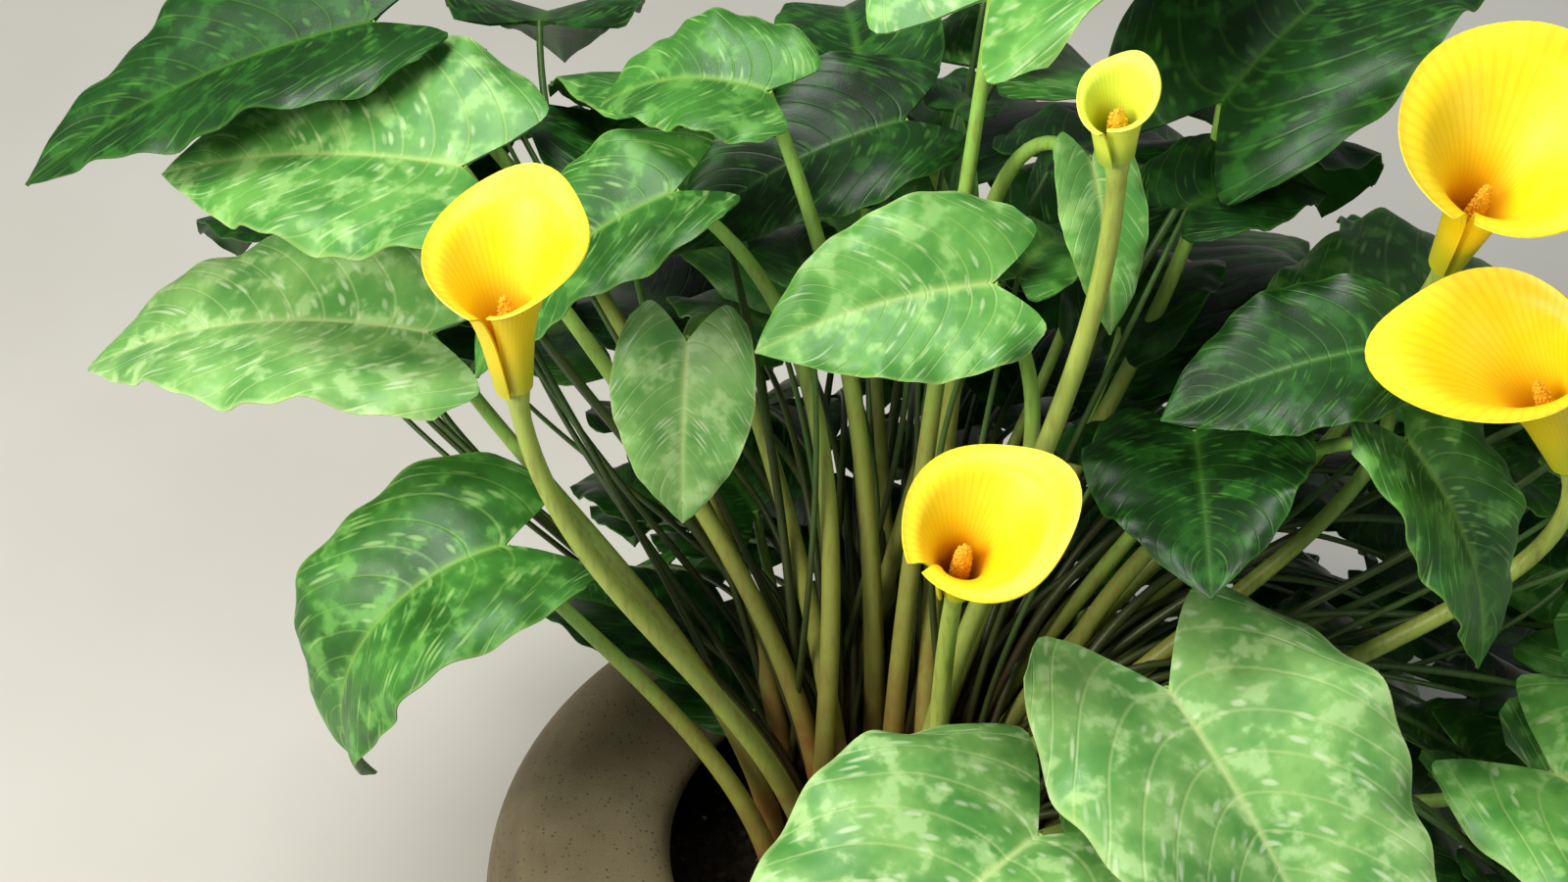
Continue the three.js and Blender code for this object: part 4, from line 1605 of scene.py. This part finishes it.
    def build(self, rods: RodTree, scatter: ScatterTree) -> list[np.ndarray]:
        """Makes stalks, spadices and spathes.

        Args:
            rods: The tree that makes rods.
            scatter: The tree that sets florets.

        Returns:
            Points of the stalks and of the spathes.
        """
        stalks, cores = Chains(), Chains()
        for flower in FLOWERS:
            self.take_stalk(stalks, flower)
            self.take_spadix(cores, flower)
        piece = stalks.build("flower_stalks", STALK_FINISH.material(), rods, self.sides)
        declare(piece, numbered("flower_stalk", range(len(FLOWERS))))
        pollen = self.florets.finish.material()
        declare(cores.build("spadix_cores", pollen, rods, self.sides))
        florets = cores.build(self.florets.name, pollen, rods, self.sides)
        declare(scatter.strew(florets, self.florets, pollen, self.seed))
        for bloom, finish in SPATHE_FINISHES.items():
            mesh = Mesh()
            mine = [k for k, flower in enumerate(FLOWERS) if flower.bloom is bloom]
            for k in mine:
                self.take_spathe(mesh, FLOWERS[k], k)
            spathes = mesh.build(f"spathes_{bloom.value}", finish.material())
            declare(spathes, numbered("spathe", mine))
            stalks.points.extend(mesh.points)
        return stalks.points


@dataclass
class Shoots:
    """The young leaves round the clump, with smaller ones between them and rolled spears."""

    clump: Clump
    form: BladeForm
    ring: float = 66.0
    outer: float = 14.0
    stagger: float = 40.0
    pitch: float = 10.0
    droop: float = 58.0
    roll: float = 8.0
    radii: Span = (3.6, 2.2)
    sides: int = 8
    fineness: float = 0.5
    filler_girth: float = 0.75
    filler_turn: float = 0.12
    filler_share: float = 0.78
    filler_shrink: float = 0.06
    filler_reach: float = 0.78
    filler_drop: float = 22.0
    filler_stagger: float = 9.0
    filler_swing: float = 14.0
    filler_pitch: float = 16.0
    filler_droop: float = 66.0
    filler_roll: float = 6.0
    filler_index: int = 30
    index_step: int = 7
    spears: int = 2
    spear_height: float = 118.0
    spear_shrink: float = 0.22
    spear_growth: float = 0.35
    low_shoot: float = 296.0
    spear_inset: float = 6.0
    spear_step: float = 9.0
    spear_swing: float = 40.0
    spear_leans: Span = (0.16, 0.08)
    spear_bends: Span = (0.4, 0.3)
    spear_steps: int = 24
    spear_radius: float = 2.4
    spear_belly: float = 2.2
    belly_height: float = 0.62
    belly_length: float = 0.2
    spear_sharpening: float = 2.1
    sharp_span: Span = (0.72, 1.0)
    sharpest: float = 0.3
    spear_tones: Span = (0.35, 1.0)

    def leaves(self, shoot: Shoot) -> list[Leaf]:
        """Spreads the leaves of a shoot, every second one longer in the stem."""
        made = []
        for k in range(shoot.count):
            odd = k % 2
            bearing = shoot.bearing + shoot.spread * (k - (shoot.count - 1) / 2)
            place = bearing, shoot.reach + self.outer * odd, shoot.height + self.stagger * odd
            roll = self.roll if odd else -self.roll
            made.append(Leaf(*place, bearing, self.pitch, self.droop, roll, shoot.length, shoot.width))
        return made

    def fillers(self, shoot: Shoot) -> list[Leaf]:
        """Sets smaller leaves between and inside the main ones of a shoot."""
        made = []
        for k in range(shoot.count):
            bearing = shoot.bearing + shoot.spread * (k - shoot.count / 2 + self.filler_turn)
            height = shoot.height - self.filler_drop - self.filler_stagger * k
            heading = bearing + self.filler_swing * (-1) ** k
            turns = heading, self.filler_pitch, self.filler_droop, self.filler_roll
            size = self.filler_share - self.filler_shrink * k
            place = bearing, shoot.reach * self.filler_reach, height
            made.append(Leaf(*place, *turns, shoot.length * size, shoot.width * size))
        return made

    def take_spears(self, chains: Chains, shoot: Shoot) -> None:
        """Adds the rolled leaves of a shoot that haven't opened yet."""
        low, high = self.spear_bends
        rise = np.linspace(0.0, 1.0, self.spear_steps + 1)
        girth = self.spear_radius + self.spear_belly * bell(rise - self.belly_height, self.belly_length)
        girth = np.maximum(girth - self.spear_sharpening * smooth(rise, *self.sharp_span), self.sharpest)
        for k in range(self.spears):
            off = k - (self.spears - 1) / 2
            root = shoot.root + self.spear_step * off
            foot = self.clump.foot(self.ring - self.spear_inset + self.spear_step * k, root)
            slant = self.spear_leans[0] + self.spear_leans[1] * k
            lean = level(shoot.bearing + self.spear_swing * off) * slant
            grown = self.spear_growth * (shoot.height - self.low_shoot)
            tall = self.spear_height * (1 - self.spear_shrink * k) + grown
            head = foot + unit(UP + lean) * tall
            bends = [foot, foot + UP * tall * low, head - unit(UP + lean * 2) * tall * high, head]
            chains.take(bezier(bends, self.spear_steps), girth, part_way(self.spear_tones, rise))

    def build(self, tree: RodTree) -> Grown:
        """Makes the shoots.

        Args:
            tree: The tree that makes rods.

        Returns:
            Each young leaf with the path of its stem.
        """
        mesh, chains, made = Mesh(), Chains(), []
        rise = self.clump.shares()
        girth = part_way(self.radii, rise)
        for n, shoot in enumerate(SHOOTS):
            foot = self.clump.foot(self.ring, shoot.root)
            grown = self.leaves(shoot)
            for k, leaf in enumerate(grown + self.fillers(shoot)):
                main = k < len(grown)
                index = k if main else self.filler_index + self.index_step * n + k
                self.form.take(mesh, leaf, index, self.fineness)
                path = self.clump.path(foot, seat_of(leaf), self.clump.arrival(leaf))
                chains.take(path, girth * (1.0 if main else self.filler_girth), rise)
                made.append((leaf, path))
            self.take_spears(chains, shoot)
        names = numbered("shoot", range(len(SHOOTS)))
        # The young leaves take the darkest tone, whose colours hold painted shade.
        young = mesh.build("shoot_blades", LEAF_FINISHES[Tone.PAINTED_SHADE].material())
        declare(young, names)
        stems = chains.build("shoot_stems", STEM_FINISH.material(), tree, self.sides)
        declare(stems, names)
        return made


@dataclass
class Room:
    """The space of the crown in small cells, each marked once something grows there."""

    cell: float = 3.2
    low: Place = (-420.0, -320.0, 120.0)
    high: Place = (460.0, 420.0, 720.0)
    spare: int = 4
    trail_step: float = 0.8

    def __post_init__(self) -> None:
        """Starts with every cell free."""
        size = [int((b - a) / self.cell) + self.spare for a, b in zip(self.low, self.high)]
        self.taken = np.zeros(size, bool)

    def cells(self, points: np.ndarray) -> tuple[np.ndarray, ...]:
        """Finds the places along each axis of the cells that points lie in."""
        spots = ((points - np.array(self.low)) / self.cell).astype(int) + 1
        return tuple(np.clip(spots, 1, np.array(self.taken.shape) - 2).T)

    def trail(self, path: np.ndarray) -> np.ndarray:
        """Fills in a path until no two of its points are more than a cell apart."""
        longest = max(np.linalg.norm(np.diff(path, axis=0), axis=1))
        share = np.arange(0.0, len(path) - 1, self.trail_step * self.cell / longest)
        return np.stack([np.interp(share, np.arange(len(path)), line) for line in path.T], 1)

    def mark(self, points: np.ndarray, margin: int = 0) -> None:
        """Marks the cells of something that grows there.

        Args:
            points: Points of it, closer together than the cells.
            margin: How many cells round each are marked too.
        """
        x, y, z = self.cells(points)
        for a, b, c in itertools.product(range(-margin, margin + 1), repeat=3):
            self.taken[x + a, y + b, z + c] = True

    def free(self, points: np.ndarray) -> bool:
        """Tells whether all of some points lie in free cells."""
        return not self.taken[self.cells(points)].any()


@dataclass
class Thicket:
    """The shaded leaves inside and behind the crown. They come one after another from chance
    places: low ones that hang over the rim behind, then the rest, large ones first, and at last some
    of any length in the upper half. Each grows only where its blade and its stem have room. The near
    side stays open, down to the bundle of stems and the mouth of the planter."""

    clump: Clump
    form: BladeForm
    planter: Planter
    seed: int = 24
    tries: int = 40000
    skirt: int = 8000
    late: int = 16000
    late_across: Span = (-60.0, 300.0)
    late_heights: Span = (330.0, 560.0)
    skirt_bearings: Span = (-40.0, 140.0)
    skirt_reach: Span = (188.0, 262.0)
    skirt_heights: Span = (180.0, 310.0)
    skirt_lengths: Span = (70.0, 128.0)
    skirt_pitches: Span = (-48.0, -12.0)
    lengths: Span = (150.0, 52.0)
    slimness: Span = (0.58, 0.72)
    across: Span = (-290.0, 330.0)
    deep: Span = (-110.0, 310.0)
    lowest: Span = (236.0, 176.0)
    lowest_span: Span = (150.0, 250.0)
    furthest_joint: float = 340.0
    front_start: float = 10.0
    front_ends: Span = (46.0, -118.0)
    front_slope: float = 0.95
    left_end: float = -108.0
    left_raised: float = 72.0
    raised_span: Span = (380.0, 440.0)
    left_behind: float = 42.0
    behind_span: Span = (60.0, 140.0)
    hidden_end: float = -320.0
    hidden_start: float = 130.0
    hidden_heights: Span = (371.0, 544.0)
    hidden_slopes: Span = (0.86, 0.67)
    hidden_middle: float = 150.0
    right_end: float = 412.0
    back_end: float = 370.0
    bottom: float = 62.0
    top: float = 664.0
    dome_top: float = 620.0
    dome_fall: float = 0.36
    swing: float = 35.0
    root_swing: float = 34.0
    pitches: Span = (-24.0, 6.0)
    droops: Span = (38.0, 66.0)
    rolls: Span = (-14.0, 14.0)
    # Share of these leaves in the darkest tone, with painted shade in its colours; the rest take the green
    # tone.
    shaded_share: float = 0.72
    foot_ring: Span = (30.0, 60.0)
    radii: Span = (2.8, 1.6)
    thinnest: float = 0.4
    hanging_span: Span = (290.0, 350.0)
    sides: int = 8
    fineness: float = 0.34
    coarse: float = 9.0
    light: Place = (-0.05, -0.75, 0.66)
    shaft: float = 60.0
    clearance: float = 6.0
    shoulder_start: float = 8.0
    lip: float = 1.0
    foot_part: int = 5
    bundle_part: int = 3
    joint_points: int = 4

    def __post_init__(self) -> None:
        """Starts with nothing growing: no blades, no stems and no way for the light to keep clear."""
        self.blades, self.stems, self.lit = Room(), Room(), Room()

    def front(self, x: np.ndarray | float) -> np.ndarray | float:
        """Gives how far towards the viewer the thicket may come at a place across."""
        near, furthest = self.front_ends
        return np.maximum(near - self.front_slope * np.maximum(x - self.front_start, 0), furthest)

    def left(self, y: np.ndarray, z: np.ndarray) -> np.ndarray:
        """Gives how far left the thicket may come at places back and up. It reaches out only behind
        the upper left leaves, so that the floor shows below them."""
        ends = zip(self.hidden_heights, self.hidden_slopes)
        below, above = (height - slope * (y - self.hidden_middle) for height, slope in ends)
        hidden = (y > self.hidden_start) & (z > below) & (z < above)
        raised = self.left_raised * smooth(z, *self.raised_span)
        plain = self.left_end - raised - self.left_behind * smooth(y, *self.behind_span)
        return np.where(hidden, self.hidden_end, plain)

    def inside(self, points: np.ndarray) -> bool:
        """Tells whether a blade stays within the crown, off the open near side and off the planter."""
        x, y, z = points.T
        across = (x > self.left(y, z)) & (x < self.right_end)
        deep = (y > self.front(x)) & (y < self.back_end)
        high = (z > self.bottom) & (z < self.top)
        return bool((across & deep & high & self.clear(points)).all())

    def clear(self, points: np.ndarray) -> np.ndarray:
        """Tells which points stand clear of the planter, in its mouth or outside it."""
        reach, z = np.hypot(points[:, 0], points[:, 1]), points[:, 2]
        pot, off = self.planter, self.clearance
        drop = smooth(z, pot.belly_height + self.shoulder_start, pot.crest_height)
        outer = pot.belly(np.minimum(z, pot.belly_height)) - (pot.belly_radius - pot.crest_radius) * drop
        mouth = pot.mouth_radius - off - self.lip
        return (z > pot.crest_height + off) | (reach > outer + off) | (reach < mouth)

    def stem(self, leaf: Leaf, ring: float) -> np.ndarray:
        """Draws a leaf's stem from its foot on a ring. One whose blade hangs low arches over the
        planter's rim."""
        hangs = 1.0 - float(smooth(leaf.height, *self.hanging_span))
        over = unit(level(leaf.bearing) - UP)
        arrival = unit(self.clump.arrival(leaf) * (1 - hangs) + over * hangs)
        return self.clump.path(self.clump.foot(ring, leaf.root), seat_of(leaf), arrival, hangs)

    def candidates(self) -> Iterator[tuple[Leaf, float]]:
        """Draws leaves by chance: the low ones behind, then the rest from the longest to the
        shortest, and at last those of any length.

        Yields:
            A leaf and the radius of the ring that its foot stands on.
        """
        dice = np.random.default_rng(self.seed)
        for k in range(self.tries + self.late):
            hanging, late = k < self.skirt, k >= self.tries
            if hanging:
                bearing, reach = dice.uniform(*self.skirt_bearings), dice.uniform(*self.skirt_reach)
                height, length = dice.uniform(*self.skirt_heights), dice.uniform(*self.skirt_lengths)
            else:
                x = dice.uniform(*(self.late_across if late else self.across))
                y = dice.uniform(*self.deep)
                reach, bearing = math.hypot(x, y), math.degrees(math.atan2(y, x))
                low = part_way(self.lowest, float(smooth(reach, *self.lowest_span)))
                height = low + (self.dome_top - self.dome_fall * reach - low) * dice.random()
                if late:
                    height = dice.uniform(*self.late_heights)
                shrunk = dice.random() if late else (k - self.skirt) / (self.tries - self.skirt)
                length = part_way(self.lengths, shrunk)
            x, y, _ = level(bearing) * reach
            width = length * dice.uniform(*self.slimness)
            heading = bearing + dice.uniform(-self.swing, self.swing)
            pitch = dice.uniform(*(self.skirt_pitches if hanging else self.pitches))
            droop = dice.uniform(*self.droops)
            root = bearing + dice.uniform(-self.root_swing, self.root_swing)
            # Most inner leaves get the darkest tone, with painted shade; the rest get the green tone.
            tone = Tone.PAINTED_SHADE if dice.random() < self.shaded_share else Tone.GREEN
            ring = dice.uniform(*self.foot_ring)
            roll = dice.uniform(*self.rolls)
            place = bearing, reach, height
            if reach < self.furthest_joint and y > self.front(x):
                yield Leaf(*place, heading, pitch, droop, roll, length, width, 0, root, tone), ring

    def note(self, others: Grown, stalks: Sequence[np.ndarray]) -> None:
        """Marks where the leaves and flowers already are, and the way that light comes to the large
        leaves and the flowers, which nothing grows into.

        Args:
            others: The leaves that stand already, each with the path of its stem.
            stalks: Points of the flowers and their stalks.
        """
        steps = np.arange(0.0, self.shaft, self.lit.cell)
        light = (unit(np.array(self.light)) * steps[:, None])[:, None]
        for k, (leaf, path) in enumerate(others):
            points = self.form.samples(leaf, k)
            self.blades.mark(points)
            self.stems.mark(self.stems.trail(path))
            if k < len(LEAVES):
                self.lit.mark((points + light).reshape(-1, 3))
        for points in stalks:
            self.stems.mark(points, 1)
            self.lit.mark((points + light).reshape(-1, 3))

    def blade_fits(self, leaf: Leaf, index: int) -> np.ndarray | None:
        """Tries a blade in its place, first its midrib, then a few of its points, then all.

        Args:
            leaf: The leaf.
            index: Its place among the candidates.

        Returns:
            Points of the blade, or nothing where it has no room.
        """
        if not self.inside(self.form.midrib(leaf, np.array([0.0, leaf.length / 2, leaf.length]))):
            return None
        points = self.form.samples(leaf, index, self.coarse)
        if not (self.inside(points) and self.lit.free(points) and self.blades.free(points)):
            return None
        points = self.form.samples(leaf, index)
        free = self.lit.free(points) and self.blades.free(points) and self.stems.free(points)
        return points if free and self.inside(points) else None

    def stem_fits(self, trail: np.ndarray) -> bool:
        """Tells whether a stem has room along its close points, apart from its foot in the bundle."""
        upper = trail[len(trail) // self.foot_part : -self.joint_points]
        head = trail[len(trail) // self.bundle_part : -self.joint_points]
        free = self.blades.free(upper) and self.lit.free(upper) and self.stems.free(head)
        return free and bool(self.clear(trail).all())

    def build(self, tree: RodTree, others: Grown, stalks: Sequence[np.ndarray]) -> None:
        """Grows the leaves.

        Args:
            tree: The tree that makes rods.
            others: The leaves that stand already, each with the path of its stem.
            stalks: Points of the flowers and their stalks.
        """
        self.note(others, stalks)
        meshes = {Tone.PAINTED_SHADE: Mesh(), Tone.GREEN: Mesh()}
        chains, grown = Chains(), 0
        rise = self.clump.shares()
        girth = part_way(self.radii, rise)
        for k, (leaf, ring) in enumerate(self.candidates()):
            points = self.blade_fits(leaf, k)
            if points is None:
                continue
            path = self.stem(leaf, ring)
            trail = self.stems.trail(path)
            if not self.stem_fits(trail):
                continue
            self.form.take(meshes[leaf.tone], leaf, k, self.fineness)
            thinned = self.thinnest + (1 - self.thinnest) * leaf.length / self.lengths[0]
            chains.take(path, girth * thinned, rise)
            self.blades.mark(points)
            self.stems.mark(trail)
            grown += 1
        LOG.info("thicket: %d leaves", grown)
        for tone, mesh in meshes.items():
            piece = mesh.build(f"inner_blades_{tone.value}", LEAF_FINISHES[tone].material())
            declare(piece)
        declare(chains.build("inner_stems", SHADED_FINISH.material(), tree, self.sides))


@dataclass(frozen=True)
class Lamp:
    """One soft round light: where it hangs and how wide it is in metres, its power in watts and its
    colour."""

    name: str
    place: Place
    size: float
    power: float
    tint: str


@dataclass
class Studio:
    """A pale floor, soft lights and a camera that looks down on the plant from in front."""

    lamps: tuple[Lamp, ...] = (
        Lamp("sky", (-0.6, 0.1, 2.7), 1.1, 45.0, "#ffffff"),
        Lamp("window", (-1.7, -1.2, 1.8), 1.2, 62.0, "#fffaf2"),
        Lamp("fill", (1.8, -1.4, 1.4), 1.6, 9.0, "#eef4ff"),
    )
    lamp_aim: Place = (0.05, 0.05, 0.38)
    air_colour: str = "#dfe4e6"
    air_strength: float = 0.2
    camera_place: Place = (-0.046, -0.7979, 1.1792)
    pitch: float = 41.4
    lens: float = 62.8
    sensor: float = 36.0
    floor_half: float = 4.0
    floor_colour: str = "#cfcdc4"
    floor_shade: str = "#c7c5bb"
    floor_cloud: float = 1000 / 3
    floor_detail: float = 4.0
    floor_span: Span = (0.3, 0.7)
    floor_gloss: Gloss = Gloss(0.85)

    def floor(self) -> None:
        """Lays the floor."""
        half = self.floor_half
        mesh = bpy.data.meshes.new("floor")
        corners = [(-half, -half, 0), (half, -half, 0), (half, half, 0), (-half, half, 0)]
        mesh.from_pydata(corners, [], [(0, 1, 2, 3)])
        make = Weave("pale_screed")
        clouds = make.ramp(make.noise(make.place(), self.floor_cloud, self.floor_detail), self.floor_span)
        mixed = make.mix(clouds, self.floor_shade, self.floor_colour)
        mesh.materials.append(make.finish(mixed, self.floor_gloss))
        link("floor", mesh)

    def hang(self, lamp: Lamp) -> None:
        """Hangs one light, which faces the plant."""
        light = bpy.data.lights.new(lamp.name, "AREA")
        light.shape = "DISK"
        light.size = lamp.size
        light.energy = lamp.power
        light.color = colour(lamp.tint)[:3]
        made = link(lamp.name, light)
        made.location = lamp.place
        aim = Vector(self.lamp_aim) - Vector(lamp.place)
        made.rotation_euler = aim.to_track_quat("-Z", "Y").to_euler()

    def build(self) -> None:
        """Sets up floor, lights and camera."""
        self.floor()
        for lamp in self.lamps:
            self.hang(lamp)
        world = bpy.data.worlds.new("studio")
        world.use_nodes = True
        background = world.node_tree.nodes["Background"]
        background.inputs["Color"].default_value = colour(self.air_colour)
        background.inputs["Strength"].default_value = self.air_strength
        bpy.context.scene.world = world
        camera = bpy.data.cameras.new("camera")
        camera.lens = self.lens
        camera.sensor_width = self.sensor
        made = link("camera", camera)
        made.location = self.camera_place
        made.rotation_euler = (math.radians(90 - self.pitch), 0.0, 0.0)
        bpy.context.scene.camera = made
        bpy.context.scene.view_settings.view_transform = "Standard"


def main() -> None:
    """Builds the plant, its planter and the studio."""
    logging.basicConfig(level=logging.INFO, format="%(name)s %(message)s")
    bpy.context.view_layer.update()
    rods, scatter = RodTree(), ScatterTree()
    form, planter = BladeForm(), Planter()
    clump = Clump(planter.soil_top)
    planter.build()
    Compost(planter).build(scatter)
    Foliage(form).build()
    tall = LeafStems(clump, form).build(rods)
    stalks = Flowers(clump).build(rods, scatter)
    young = Shoots(clump, form).build(rods)
    Thicket(clump, form, planter).build(rods, tall + young, stalks)
    Studio().build()
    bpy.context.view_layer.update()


if __name__ == "__main__":
    main()
